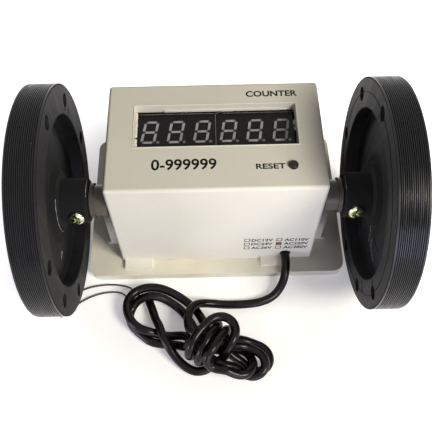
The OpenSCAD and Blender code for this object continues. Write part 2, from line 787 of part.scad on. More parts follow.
base_frame();
housing();
cover_screws();
display_left();
display_right();
digit_bars();
display_board();
display_board_screws();
reset_button();
switch_plunger();
reset_switch();
main_board();
main_board_screws();
transformer_core();
transformer_winding();
capacitors();
controller_chip();
terminal_block();
ribbon_cable();
hall_sensor();
cord_gland();
bearing_left();
bearing_right();
race_left();
race_right();
shaft();
magnet_ring();
retaining_rings();
hub_washers();
wheel_left();
wheel_right();
hub_screws();
power_cord();
cord_hank();
wire_long();
wire_short();
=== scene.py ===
"""Looks of an electronic length counter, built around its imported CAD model.

The counter is a moulded display box on a cast bracket, with a measuring wheel on each side of a
through shaft and a supply cord that lies knotted in front of it. Every piece is in metres in the
frame of the CAD model: the origin is on the bracket's underside straight below the shaft, +X runs
along the shaft, +Y to the back and +Z up.
"""

from __future__ import annotations

import logging
import math
from dataclasses import dataclass
from enum import Enum
from typing import Sequence

import bpy
import numpy as np
from mathutils import Matrix, Vector


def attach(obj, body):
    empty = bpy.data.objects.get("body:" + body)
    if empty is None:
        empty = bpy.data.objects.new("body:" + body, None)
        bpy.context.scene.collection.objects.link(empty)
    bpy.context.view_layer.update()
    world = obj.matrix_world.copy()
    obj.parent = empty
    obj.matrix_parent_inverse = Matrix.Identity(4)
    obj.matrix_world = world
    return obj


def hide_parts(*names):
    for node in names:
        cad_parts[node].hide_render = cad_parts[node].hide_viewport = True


LOG = logging.getLogger("length_counter")

# A millimetre in metres, and places of the CAD model in millimetres: the shaft's height, the top
# and the front of the box, the faces of the display modules, and the wheels' inner faces.
MM = 0.001
SHAFT_Z = 54.0
BOX_TOP = 72.5
BOX_FRONT = -7.5
MODULE_FACE = 68.2
RIM_FACE = 68.2

Feeds = dict[str | int, object]
Faces = list[Sequence[int]]
Tree = bpy.types.NodeTree
Socket = bpy.types.NodeSocket
Layers = list[tuple[Socket, str]]

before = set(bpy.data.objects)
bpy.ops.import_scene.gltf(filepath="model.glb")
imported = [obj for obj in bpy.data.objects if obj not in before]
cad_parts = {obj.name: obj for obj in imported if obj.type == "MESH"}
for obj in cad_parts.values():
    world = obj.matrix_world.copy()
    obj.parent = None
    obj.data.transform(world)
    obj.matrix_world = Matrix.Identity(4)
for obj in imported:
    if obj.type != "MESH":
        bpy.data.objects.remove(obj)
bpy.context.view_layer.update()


class Body(str, Enum):
    """The CAD bodies that pieces ride on."""

    FRAME = "frame"
    ROTOR = "rotor"


# ---------------------------------------------------------------------------------------------
# Colours and nodes


def linear(code: str) -> tuple[float, float, float, float]:
    """Turns an sRGB hex colour into linear values.

    Args:
        code: The colour as "#rrggbb".

    Returns:
        Red, green and blue as linear numbers, and an alpha of 1.
    """
    parts = [int(code[i : i + 2], 16) / 255 for i in (1, 3, 5)]
    turned = [c / 12.92 if c <= 0.04045 else ((c + 0.055) / 1.055) ** 2.4 for c in parts]
    return (*turned, 1.0)


def node(
    tree: Tree, kind: str, feeds: Feeds | None = None, **settings: object
) -> bpy.types.NodeOutputs:
    """Adds a node with its settings, its constants and its incoming links.

    Args:
        tree: The node tree.
        kind: The node's type name, without "ShaderNode".
        feeds: What its inputs take, by name or number: a socket is linked, all else is set.
        **settings: Properties of the node itself.

    Returns:
        The new node's outputs.
    """
    made = tree.nodes.new("ShaderNode" + kind)
    for key, value in settings.items():
        setattr(made, key, value)
    for key, value in (feeds or {}).items():
        if isinstance(value, Socket):
            tree.links.new(value, made.inputs[key])
        else:
            made.inputs[key].default_value = value
    return made.outputs


def from_shaft(tree: Tree, place: Socket) -> Socket:
    """Gives the distance of a place from the shaft's line, the root of y * y + (z - shaft) ** 2.

    Args:
        tree: The node tree.
        place: The place's socket.

    Returns:
        The distance's socket, in metres.
    """
    flat = node(tree, "VectorMath", {0: place, 1: (0, 1, 1)}, operation="MULTIPLY")[0]
    shaft = {0: flat, 1: (0, 0, SHAFT_Z * MM)}
    return node(tree, "VectorMath", shaft, operation="DISTANCE")["Value"]


def blank_material(name: str) -> tuple[bpy.types.Material, Tree]:
    """Makes a material with an empty node tree.

    Args:
        name: The material's name.

    Returns:
        The material and its tree.
    """
    material = bpy.data.materials.new(name)
    material.use_nodes = True
    material.node_tree.nodes.clear()
    return material, material.node_tree


# ---------------------------------------------------------------------------------------------
# Finishes


@dataclass(frozen=True)
class Finish:
    """A named finish between two close tones. Each kind says what its shader takes."""

    name: str
    tone: str
    second: str

    def colour(
        self, tree: Tree, value: Socket, span: tuple[float, float], layers: Layers
    ) -> Socket:
        """Runs the colour evenly from the tone to the second tone, and lays others over it.

        Args:
            tree: The node tree.
            value: The socket that says where the colour stands.
            span: The value up to which it is the tone, and from which it is the second.
            layers: What lies over it: each layer's share and its colour.

        Returns:
            The colour's socket.
        """
        share = node(tree, "MapRange", {"Value": value, "From Min": span[0], "From Max": span[1]})
        colour = linear(self.tone)
        for part, code in [(share[0], self.second), *layers]:
            both = {"Factor": part, 6: colour, 7: linear(code)}
            colour = node(tree, "Mix", both, data_type="RGBA")[2]
        return colour

    def feeds(self, tree: Tree) -> Feeds:
        """Gives what the shader's inputs take, by name."""
        raise NotImplementedError

    def material(self) -> bpy.types.Material:
        """Gives the finish's material, which is built the first time that it is asked for."""
        if self.name in bpy.data.materials:
            return bpy.data.materials[self.name]
        material, tree = blank_material(self.name)
        shader = node(tree, "BsdfPrincipled", self.feeds(tree))
        node(tree, "OutputMaterial", {"Surface": shader["BSDF"]})
        return material


@dataclass(frozen=True)
class Moulded(Finish):
    """A moulded, painted or printed surface: two close tones, a fine grain and uneven gloss.

    The colour drifts between the two tones over patches of mottle_mm. The grain is a fine noise
    of grain_mm that stands grain_depth_mm proud, and the roughness drifts with the patches.
    Specks are the peaks of a noise of speck_mm: the greater their share, the more of them.
    """

    roughness: float = 0.4
    gloss_drift: float = 0.08
    mottle_mm: float = 18.0
    grain_mm: float = 0.45
    grain_depth_mm: float = 0.01
    metallic: float = 0.0
    ior: float = 1.5
    coat: float = 0.0
    coat_roughness: float = 0.1
    specular: float = 0.5
    specks: str = ""
    speck_share: float = 0.0
    speck_mm: float = 0.9
    tone_span: tuple[float, float] = (0.34, 0.68)
    gloss_span: tuple[float, float] = (0.3, 0.7)

    def layers(self, tree: Tree, place: Socket) -> Layers:
        """Gives what lies over the tones: the specks, where the finish has them.

        Args:
            tree: The node tree.
            place: The place's socket.

        Returns:
            Each layer's share and its colour.
        """
        if not self.specks:
            return []
        size = 1 / (self.speck_mm * MM)
        dots = node(tree, "TexNoise", {"Vector": place, "Scale": size, "Detail": 2.0})
        edge = 0.5 + 0.25 * (1 - self.speck_share)
        peaks = {"Value": dots["Fac"], "From Min": edge, "From Max": edge + 0.04}
        return [(node(tree, "MapRange", peaks)[0], self.specks)]

    def feeds(self, tree: Tree) -> Feeds:
        """Gives what the shader's inputs take, by name."""
        place = node(tree, "TexCoord")["Object"]
        patches, grain = (
            node(
                tree,
                "TexNoise",
                {"Vector": place, "Scale": 1 / (size * MM), "Detail": detail, "Roughness": rough},
            )["Fac"]
            for size, detail, rough in ((self.mottle_mm, 3.0, 0.6), (self.grain_mm, 2.0, 0.55))
        )
        start, end = self.gloss_span
        low, high = self.roughness - self.gloss_drift, self.roughness + self.gloss_drift
        drift = {"From Min": start, "From Max": end, "To Min": low, "To Max": high}
        depth = self.grain_depth_mm * MM
        bump = node(tree, "Bump", {"Height": grain, "Strength": 0.5, "Distance": depth})
        return {
            "Base Color": self.colour(tree, patches, self.tone_span, self.layers(tree, place)),
            "Roughness": node(tree, "MapRange", {"Value": patches, **drift})[0],
            "Normal": bump[0],
            "Metallic": self.metallic,
            "IOR": self.ior,
            "Specular IOR Level": self.specular,
            "Coat Weight": self.coat,
            "Coat Roughness": self.coat_roughness,
        }


@dataclass(frozen=True)
class Bracket(Moulded):
    """A painted casting whose paint is darkened round its bearings by painted shade.

    The painted shade stands for the shadows that the box and the wheels cast on the bosses and
    uprights. It is full within full_mm of the shaft's line and fades out by fade_mm. A noise of
    patch_mm moves both by up to half of uneven_mm either way.
    """

    # Colour of the painted shade round the bearings.
    bearing_shade: str = "#4a443b"
    full_mm: float = 16.0
    fade_mm: float = 44.0
    patch_mm: float = 9.0
    uneven_mm: float = 14.0

    def layers(self, tree: Tree, place: Socket) -> Layers:
        """Gives what lies over the paint: the painted shade round the bearings.

        Args:
            tree: The node tree.
            place: The place's socket.

        Returns:
            Each layer's share and its colour.
        """
        # Painted shade: the bosses and uprights darken towards the shaft's line.
        size, uneven = 1 / (self.patch_mm * MM), self.uneven_mm * MM
        patches = node(tree, "TexNoise", {"Vector": place, "Scale": size, "Detail": 4.0})
        moved = {0: patches["Fac"], 1: uneven, 2: from_shaft(tree, place)}
        fade = {
            "Value": node(tree, "Math", moved, operation="MULTIPLY_ADD")[0],
            "From Min": self.full_mm * MM + uneven / 2,
            "From Max": self.fade_mm * MM + uneven / 2,
            "To Min": 1.0,
            "To Max": 0.0,
        }
        return [(node(tree, "MapRange", fade, interpolation_type="SMOOTHSTEP")[0], self.bearing_shade)]


@dataclass(frozen=True)
class LightGuides(Moulded):
    """Milky light guides with dimmer points and bar tips, and painted shade over the last digit.

    A digit's middle is every pitch from first. The points lie more than point_from to the right
    of it and below point_top. The tips are what lies within tip of a meeting point of bars, which
    are at plus or minus joint_x across the leaning digit and at 0 or plus or minus joint_y up it
    from its middle. Over the last digit the colour falls off to the right, as painted shade next to
    the window's right wall.
    """

    dim: str = "#2f2b30"
    dim_share: float = 0.72
    first_mm: float = -29.93
    pitch_mm: float = 12.17
    point_from_mm: float = 2.85
    point_top_mm: float = 22.9
    # Where the painted shade next to the window's right wall darkens the last digit.
    last_digit_shade_mm: tuple[float, float] = (29.0, 33.5)
    middle_mm: float = 27.5
    lean: float = 0.16
    joint_x_mm: float = 2.875
    joint_y_mm: float = 5.775
    tip_mm: tuple[float, float] = (0.7, 1.2)

    def from_joint(self, tree: Tree, across: Socket, up: Socket) -> Socket:
        """Gives the distance from the nearest meeting point of bars.

        The digit is set upright and folded into its upper right quarter, where the meeting points
        are at (joint_x, 0) and (joint_x, joint_y).

        Args:
            tree: The node tree.
            across: The distance to the right of the digit's middle, in metres.
            up: The place along Y, in metres.

        Returns:
            The distance's socket, in metres.
        """
        rise = node(tree, "Math", {0: up, 1: self.middle_mm * MM}, operation="SUBTRACT")[0]
        upright = {0: rise, 1: -self.lean, 2: across}
        level = node(tree, "Math", upright, operation="MULTIPLY_ADD")[0]
        place = node(tree, "CombineXYZ", {"X": level, "Y": rise})[0]
        folded = node(tree, "VectorMath", {0: place}, operation="ABSOLUTE")[0]
        middle, corner = (
            node(
                tree,
                "VectorMath",
                {0: folded, 1: (self.joint_x_mm * MM, joint * MM, 0.0)},
                operation="DISTANCE",
            )["Value"]
            for joint in (0.0, self.joint_y_mm)
        )
        return node(tree, "Math", {0: middle, 1: corner}, operation="MINIMUM")[0]

    def layers(self, tree: Tree, place: Socket) -> Layers:
        """Gives what lies over the milky colour: the dimmer places.

        Args:
            tree: The node tree.
            place: The place's socket.

        Returns:
            Each layer's share and its colour.
        """
        parts = node(tree, "SeparateXYZ", {"Vector": place})
        half = self.pitch_mm / 2 * MM
        past = node(tree, "Math", {0: parts["X"], 1: self.first_mm * MM}, operation="SUBTRACT")[0]
        across = node(tree, "Math", {0: past, 1: half, 2: -half}, operation="WRAP")[0]
        right, low = (
            node(tree, "Math", {0: value, 1: edge * MM}, operation=side)[0]
            for value, edge, side in (
                (across, self.point_from_mm, "GREATER_THAN"),
                (parts["Y"], self.point_top_mm, "LESS_THAN"),
            )
        )
        most = node(tree, "Math", {0: right, 1: low}, operation="MULTIPLY")[0]
        # The first share is painted shade over the last digit; the second dims the bars' tips.
        for value, (near, far), start in (
            (parts["X"], self.last_digit_shade_mm, 0.0),
            (self.from_joint(tree, across, parts["Y"]), self.tip_mm, 1.0),
        ):
            fall = {"From Min": near * MM, "From Max": far * MM, "To Min": start}
            part = node(tree, "MapRange", {"Value": value, "To Max": 1 - start, **fall})[0]
            most = node(tree, "Math", {0: most, 1: part}, operation="MAXIMUM")[0]
        share = node(tree, "Math", {0: most, 1: self.dim_share}, operation="MULTIPLY")[0]
        return [(share, self.dim)]


@dataclass(frozen=True)
class Wheel(Finish):
    """A moulded black wheel: rubbed ridges on the tread, flow lines and scuffs on its faces.

    The tone runs from black to a grey bloom by patches of mottle_mm times flow lines, a noise of
    flow_mm that is stretched flow_stretch times along Z. Scuffs are the highest peaks of a noise
    of scuff_mm. Over crest_mm from the shaft's line the roughness falls from dull to a noise
    between rubbed and unrubbed that changes from ridge to ridge and slowly round the tread. The
    groove bottoms, between tread_mm and crest_mm, are painted near black as painted shade. Round
    the hub, from hub_mm inwards, it is dull and painted as black as the grooves, as painted shade.
    """

    scuff: str = "#8d8b90"
    # Near black of the painted shade in the grooves and round the hub.
    groove_and_hub_shade: str = "#050506"
    roughness: float = 0.58
    gloss_drift: float = 0.05
    rubbed: float = 0.16
    unrubbed: float = 0.34
    dull: float = 0.95
    specular: float = 0.33
    tone_span: tuple[float, float] = (0.14, 0.40)
    gloss_span: tuple[float, float] = (0.3, 0.7)
    rub_span: tuple[float, float] = (0.38, 0.6)
    scuff_span: tuple[float, float] = (0.79, 0.84)
    mottle_mm: float = 11.0
    flow_mm: float = 4.0
    flow_stretch: float = 14.0
    scuff_mm: float = 1.1
    scuff_depth_mm: float = 0.008
    ridge_mm: float = 0.814
    streak_mm: float = 22.0
    tread_mm: tuple[float, float] = (52.2, 52.5)
    crest_mm: tuple[float, float] = (52.72, 52.96)
    hub_mm: tuple[float, float] = (16.5, 21.0)

    def feeds(self, tree: Tree) -> Feeds:
        """Gives what the shader's inputs take, by name."""
        place = node(tree, "TexCoord")["Object"]
        stretched = self.flow_mm * self.flow_stretch
        patches, lines, streaks, grit = (
            node(
                tree,
                "TexNoise",
                {
                    "Vector": node(
                        tree,
                        "Mapping",
                        {"Vector": place, "Scale": tuple(1 / (side * MM) for side in size)},
                    )[0],
                    "Scale": 1.0,
                    "Detail": detail,
                    "Roughness": rough,
                },
            )["Fac"]
            for size, detail, rough in (
                ((self.mottle_mm,) * 3, 4.0, 0.6),
                ((self.flow_mm, self.flow_mm, stretched), 3.0, 0.5),
                ((self.ridge_mm, self.streak_mm, self.streak_mm), 2.0, 0.5),
                ((self.scuff_mm,) * 3, 1.0, 0.5),
            )
        )
        reach = node(tree, "Math", {0: from_shaft(tree, place), 1: MM}, operation="DIVIDE")[0]
        dullest, glossiest = self.roughness + self.gloss_drift, self.roughness - self.gloss_drift
        rub, plain, crest, bottom, tread, clear, hub = (
            node(
                tree,
                "MapRange",
                {"Value": value, "From Min": start, "From Max": end, "To Min": low, "To Max": high},
                interpolation_type="SMOOTHSTEP",
            )[0]
            for value, (start, end), low, high in (
                (streaks, self.rub_span, self.rubbed, self.unrubbed),
                (lines, self.gloss_span, glossiest, dullest),
                (reach, self.crest_mm, 0.0, 1.0),
                (reach, self.crest_mm, 1.0, 0.0),
                (reach, self.tread_mm, 0.0, 1.0),
                (reach, self.hub_mm, 0.0, 1.0),
                (reach, self.hub_mm, 1.0, 0.0),
            )
        )
        gloss = rub
        for share, under in ((crest, self.dull), (tread, plain), (clear, self.dull)):
            gloss = node(tree, "Mix", {"Factor": share, "A": under, "B": gloss})[0]
        # Painted shade: the groove bottoms and the hub are darkened to near black.
        low = node(tree, "Math", {0: tread, 1: bottom}, operation="MULTIPLY")[0]
        shade_share = node(tree, "Math", {0: low, 1: hub}, operation="MAXIMUM")[0]
        start, end = self.scuff_span
        peaks = node(tree, "MapRange", {"Value": grit, "From Min": start, "From Max": end})[0]
        both = node(tree, "Math", {0: patches, 1: lines}, operation="MULTIPLY")[0]
        layers = [(peaks, self.scuff), (shade_share, self.groove_and_hub_shade)]
        depth = self.scuff_depth_mm * MM
        bump = node(tree, "Bump", {"Height": grit, "Strength": 0.4, "Distance": depth})
        return {
            "Base Color": self.colour(tree, both, self.tone_span, layers),
            "Roughness": gloss,
            "Normal": bump[0],
            "Specular IOR Level": self.specular,
        }


@dataclass(frozen=True)
class Turned(Finish):
    """A turned or drawn metal: fine rings square to the shaft's line, and streaked gloss.

    The rings are a noise of pitch_mm along X and run_mm across it.
    """

    roughness: float = 0.3
    gloss_drift: tuple[float, float] = (-0.08, 0.12)
    tone_span: tuple[float, float] = (0.3, 0.7)
    pitch_mm: float = 0.35
    run_mm: float = 25.0
    depth_mm: float = 0.004

    def feeds(self, tree: Tree) -> Feeds:
        """Gives what the shader's inputs take, by name."""
        place = node(tree, "TexCoord")["Object"]
        pitch, run = 1 / (self.pitch_mm * MM), 1 / (self.run_mm * MM)
        along = node(tree, "Mapping", {"Vector": place, "Scale": (pitch, run, run)})[0]
        rings = node(tree, "TexNoise", {"Vector": along, "Scale": 1.0, "Detail": 3.0})["Fac"]
        low, high = (self.roughness + drift for drift in self.gloss_drift)
        gloss = node(tree, "MapRange", {"Value": rings, "To Min": low, "To Max": high})
        depth = self.depth_mm * MM
        bump = node(tree, "Bump", {"Height": rings, "Strength": 0.4, "Distance": depth})
        return {
            "Base Color": self.colour(tree, rings, self.tone_span, []),
            "Roughness": gloss[0],
            "Normal": bump[0],
            "Metallic": 1.0,
        }


# Cream ABS, injection moulded with a fine spark-eroded texture: a soft even gloss and a very
# slight drift of tone between warm and cool.
BOX_PLASTIC = Moulded(
    "box_abs_moulded", "#ece7db", "#e8e3d6", roughness=0.45, mottle_mm=26, specular=0.3
)
# Die-cast bracket under a sprayed enamel, an orange-peel surface a touch greener than the box.
# Painted shade darkens it on the bosses and uprights round the bearings.
BRACKET_PAINT = Bracket(
    "bracket_enamel_sprayed",
    "#e8e2d3",
    "#dfd9c9",
    roughness=0.4,
    mottle_mm=14,
    grain_mm=1.6,
    grain_depth_mm=0.03,
    coat=0.15,
    coat_roughness=0.25,
    specular=0.3,
)
# Black polyamide with carbon black, moulded: near black, a dull grey bloom on the rubbed rim.
WHEEL_NYLON = Wheel("wheel_polyamide_moulded", "#0a090b", "#17151a")
# Soft PVC sheath, extruded: wet gloss with faint drag lines.
CORD_PVC = Moulded(
    "cord_pvc_extruded",
    "#0e0a0b",
    "#150f12",
    roughness=0.2,
    specular=0.18,
    gloss_drift=0.04,
    mottle_mm=9,
    grain_mm=0.5,
    grain_depth_mm=0.003,
)
# Thin PVC insulation of the two cores, brown-grey and a little dusty.
WIRE_PVC = Moulded("wire_pvc_extruded", "#2f2b2a", "#3f3a38", roughness=0.45, mottle_mm=4)
# Black ABS of the reset button, worn smooth by fingers.
BUTTON_ABS = Moulded(
    "button_abs_moulded", "#15110b", "#1e1911", roughness=0.35, mottle_mm=2, specular=0.3
)
# Bezel plastic of the displays: smoked, semi-gloss, with dust in its grain.
DISPLAY_ABS = Moulded(
    "display_bezel_smoked",
    "#0f0d0e",
    "#161314",
    roughness=0.3,
    mottle_mm=6,
    grain_mm=0.3,
    specular=0.14,
    specks="#3b3637",
    speck_share=0.2,
)
# Epoxy-filled light guides, unlit: a milky grey with a touch of lilac.
LIGHT_GUIDE = LightGuides("segment_epoxy_cast", "#928f95", "#b6b3b8", roughness=0.35, mottle_mm=3)
# Pale lines on the display modules' seam and top steps, paler than the bezel's face: a painted
# highlight where their edges catch light.
BEZEL_EDGE_HIGHLIGHT = Moulded("bezel_edge_highlight_painted", "#6b6668", "#8d888b", roughness=0.35, mottle_mm=5)
# Glass-fibre board under green solder mask.
BOARD_MASK = Moulded(
    "board_fr4_masked", "#1f5c33", "#2a6d3d", roughness=0.25, mottle_mm=3, coat=0.4
)
# Black moulding of chips, switches and bushes.
PART_BLACK = Moulded("part_phenolic_moulded", "#1b1b1d", "#26262a", roughness=0.5, mottle_mm=3)
# Enamelled copper wire under yellow tape.
WINDING_TAPE = Moulded("winding_polyester_taped", "#c79f35", "#b68c28", roughness=0.3, mottle_mm=4)
# Shrunk PVC sleeve of the capacitors.
SLEEVE_PVC = Moulded("capacitor_sleeve_shrunk", "#2c3a6a", "#36467c", roughness=0.25, mottle_mm=5)
# Tampon-printed ink: flat, thin and slightly uneven.
INK_BLACK = Moulded(
    "ink_black_printed", "#12110f", "#1b1917", roughness=0.6, mottle_mm=1.5, specular=0.1
)
INK_RED = Moulded("ink_red_printed", "#a61d2c", "#b92a37", roughness=0.5, mottle_mm=1.5)
# Hot-melt glue: cloudy white, smooth.
GLUE = Moulded("glue_hot_melt", "#efece6", "#dedad2", roughness=0.25, mottle_mm=1.2, ior=1.48)
# The shadowed joints that the mould's inserts leave in the polyamide.
MOULD_LINE = Moulded(
    "joint_polyamide_shadowed", "#010101", "#040404", roughness=0.8, mottle_mm=2, specular=0.1
)
# Polyamide flash, drawn out white where the mould parted. The same white draws painted glints
# where the hubs' ends and the left hub's shoulder catch light.
FLASH_AND_GLINT = Moulded("flash_and_painted_glint", "#6a696c", "#d2d1d3", roughness=0.3, mottle_mm=1.6)
# Copper strands under tin.
TINNED = Moulded(
    "strand_copper_tinned", "#b9b4ac", "#a58f78", roughness=0.3, metallic=1.0, mottle_mm=0.8
)
# Laminated core plates, varnished.
CORE_PLATES = Moulded(
    "core_silicon_steel", "#6d6e73", "#808187", roughness=0.45, metallic=0.8, mottle_mm=2
)
# Bright drawn steel of the shaft and screws, ground steel of the bearings and rings.
STEEL_DRAWN = Turned("steel_drawn_bright", "#a8aaad", "#c4c6c8", roughness=0.28)
STEEL_GROUND = Turned("steel_bearing_ground", "#b5b7ba", "#cccdd0", roughness=0.18, pitch_mm=0.2)
# Yellow-passivated zinc on the hub screws: brassy with a green and pink cast.
YELLOW_ZINC = Moulded(
    "zinc_yellow_passivated",
    "#eceed2",
    "#a9b184",
    roughness=0.14,
    metallic=1.0,
    mottle_mm=1.6,
    grain_mm=0.7,
    grain_depth_mm=0.09,
)


# ---------------------------------------------------------------------------------------------
# Meshes


def placed(name: str, data: bpy.types.ID) -> bpy.types.Object:
    """Makes an object of some data at the origin of the scene.

    Args:
        name: The object's name.
        data: Its mesh, curve, camera or lamp.

    Returns:
        The object.
    """
    made = bpy.data.objects.new(name, data)
    bpy.context.scene.collection.objects.link(made)
    return made


def mesh_piece(
    name: str,
    points: np.ndarray,
    faces: np.ndarray | Faces,
    finish: Finish,
    slot: str,
    body: Body = Body.FRAME,
    smooth: bool = True,
) -> bpy.types.Object:
    """Makes a mesh object at the origin that rides on a body.

    Args:
        name: The piece's name.
        points: Its points in millimetres, one row each.
        faces: Its faces as rows of point numbers.
        finish: Its finish.
        slot: Not used.
        body: The CAD body that it rides on.
        smooth: Whether its faces are shaded smooth.

    Returns:
        The new object.
    """
    mesh = bpy.data.meshes.new(name)
    mesh.from_pydata((np.asarray(points) * MM).tolist(), [], [list(map(int, f)) for f in faces])
    mesh.validate()
    mesh.polygons.foreach_set("use_smooth", np.full(len(mesh.polygons), smooth))
    mesh.materials.append(finish.material())
    made = placed(name, mesh)
    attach(made, body.value)
    LOG.info("%s: %d points, %d faces", name, len(mesh.vertices), len(mesh.polygons))
    return made


def spline(points: Sequence[Sequence[float]], step: float) -> np.ndarray:
    """Carries a smooth curve through points and spaces it evenly.

    The curve is a natural cubic spline in each coordinate over the square root of the distance
    between neighbouring points, which keeps it from swinging out where points stand far apart.

    Args:
        points: The points that the curve passes, one row each.
        step: The distance between the points of the result.

    Returns:
        The curve's points, one row each.
    """
    points = np.asarray(points, float)
    gaps = np.linalg.norm(np.diff(points, axis=0), axis=1)
    knots = np.concatenate([[0], np.cumsum(np.sqrt(gaps))])
    width = np.diff(knots)
    count = len(points)
    system = np.eye(count)
    right = np.zeros((count, 3))
    inner = np.arange(1, count - 1)
    system[inner, inner - 1] = width[:-1]
    system[inner, inner] = 2 * (width[:-1] + width[1:])
    system[inner, inner + 1] = width[1:]
    slope = np.diff(points, axis=0) / width[:, None]
    right[1:-1] = 6 * (slope[1:] - slope[:-1])
    bend = np.linalg.solve(system, right)
    at = np.linspace(0, knots[-1], 24 * count)
    i = np.clip(np.searchsorted(knots, at, side="right") - 1, 0, count - 2)
    before, after, h = (at - knots[i])[:, None], (knots[i + 1] - at)[:, None], width[i][:, None]
    fine = (
        bend[i] * after**3 / (6 * h)
        + bend[i + 1] * before**3 / (6 * h)
        + (points[i] / h - bend[i] * h / 6) * after
        + (points[i + 1] / h - bend[i + 1] * h / 6) * before
    )
    along = np.concatenate([[0], np.cumsum(np.linalg.norm(np.diff(fine, axis=0), axis=1))])
    even = np.linspace(0, along[-1], max(2, round(along[-1] / step) + 1))
    return np.stack([np.interp(even, along, fine[:, k]) for k in range(3)], axis=1)


def walls(rings: int, sides: int, closed: bool = False) -> np.ndarray:
    """Gives the four-sided faces between neighbouring rings of points.

    A face joins points k and k + 1 of ring i to those of ring i + 1, and the last point of a
    ring to its first.

    Args:
        rings: The number of rings.
        sides: The number of points in each.
        closed: Whether the last ring joins the first.

    Returns:
        The faces, one row each.
    """
    i, k = np.meshgrid(np.arange(rings - (not closed)), np.arange(sides), indexing="ij")
    j, after = (i + 1) % rings, (k + 1) % sides
    corners = [i * sides + k, i * sides + after, j * sides + after, j * sides + k]
    return np.stack(corners, axis=-1).reshape(-1, 4)


def ends_closed(rings: int, sides: int) -> Faces:
    """Gives the walls between rings of points, and one face over each end.

    Args:
        rings: The number of rings.
        sides: The number of points in each.

    Returns:
        The faces.
    """
    last = (rings - 1) * sides
    caps = [list(range(sides))[::-1], list(range(last, last + sides))]
    return [*walls(rings, sides).tolist(), *caps]


def tube(
    line: np.ndarray, radii: np.ndarray | float, sides: int, closed: bool = False
) -> tuple[np.ndarray, np.ndarray | Faces]:
    """Carries a circle along a line, and closes both ends of an open one.

    A point of ring i at angle a is line[i] + radius * (cos a * first + sin a * second). The two
    directions are square to the line there, and each first is the one before it less its part
    along the new heading, which gives the least twist.

    Args:
        line: The centre line, one row each.
        radii: The radius, one for all, for each ring, or for each point of each ring.
        sides: The number of points round the circle.
        closed: Whether the line ends where it starts. It lies flat then, and anticlockwise.

    Returns:
        The points and the faces.
    """
    if closed:
        heading = np.roll(line, -1, axis=0) - np.roll(line, 1, axis=0)
    else:
        heading = np.gradient(line, axis=0)
    heading /= np.linalg.norm(heading, axis=1)[:, None]
    first = np.zeros_like(line)
    start = np.cross(heading[0], (0.0, 0.0, 1.0))
    first[0] = start / np.linalg.norm(start)
    for i in range(1, len(line)):
        turned = first[i - 1] - heading[i] * (first[i - 1] @ heading[i])
        first[i] = turned / np.linalg.norm(turned)
    second = np.cross(heading, first)
    angle = 2 * np.pi * np.arange(sides)[:, None] / sides
    ring = np.cos(angle) * first[:, None] + np.sin(angle) * second[:, None]
    reach = np.reshape(radii, (-1, 1, 1)) if np.ndim(radii) < 2 else radii[..., None]
    faces = walls(len(line), sides, True) if closed else ends_closed(len(line), sides)
    return (line[:, None] + reach * ring).reshape(-1, 3), faces


# ---------------------------------------------------------------------------------------------
# Studio


@dataclass(frozen=True)
class Lamp:
    """A soft square lamp: degrees right of the front and above level, side in metres, watts."""

    name: str
    right: float
    height: float
    size: float
    power: float
    code: str


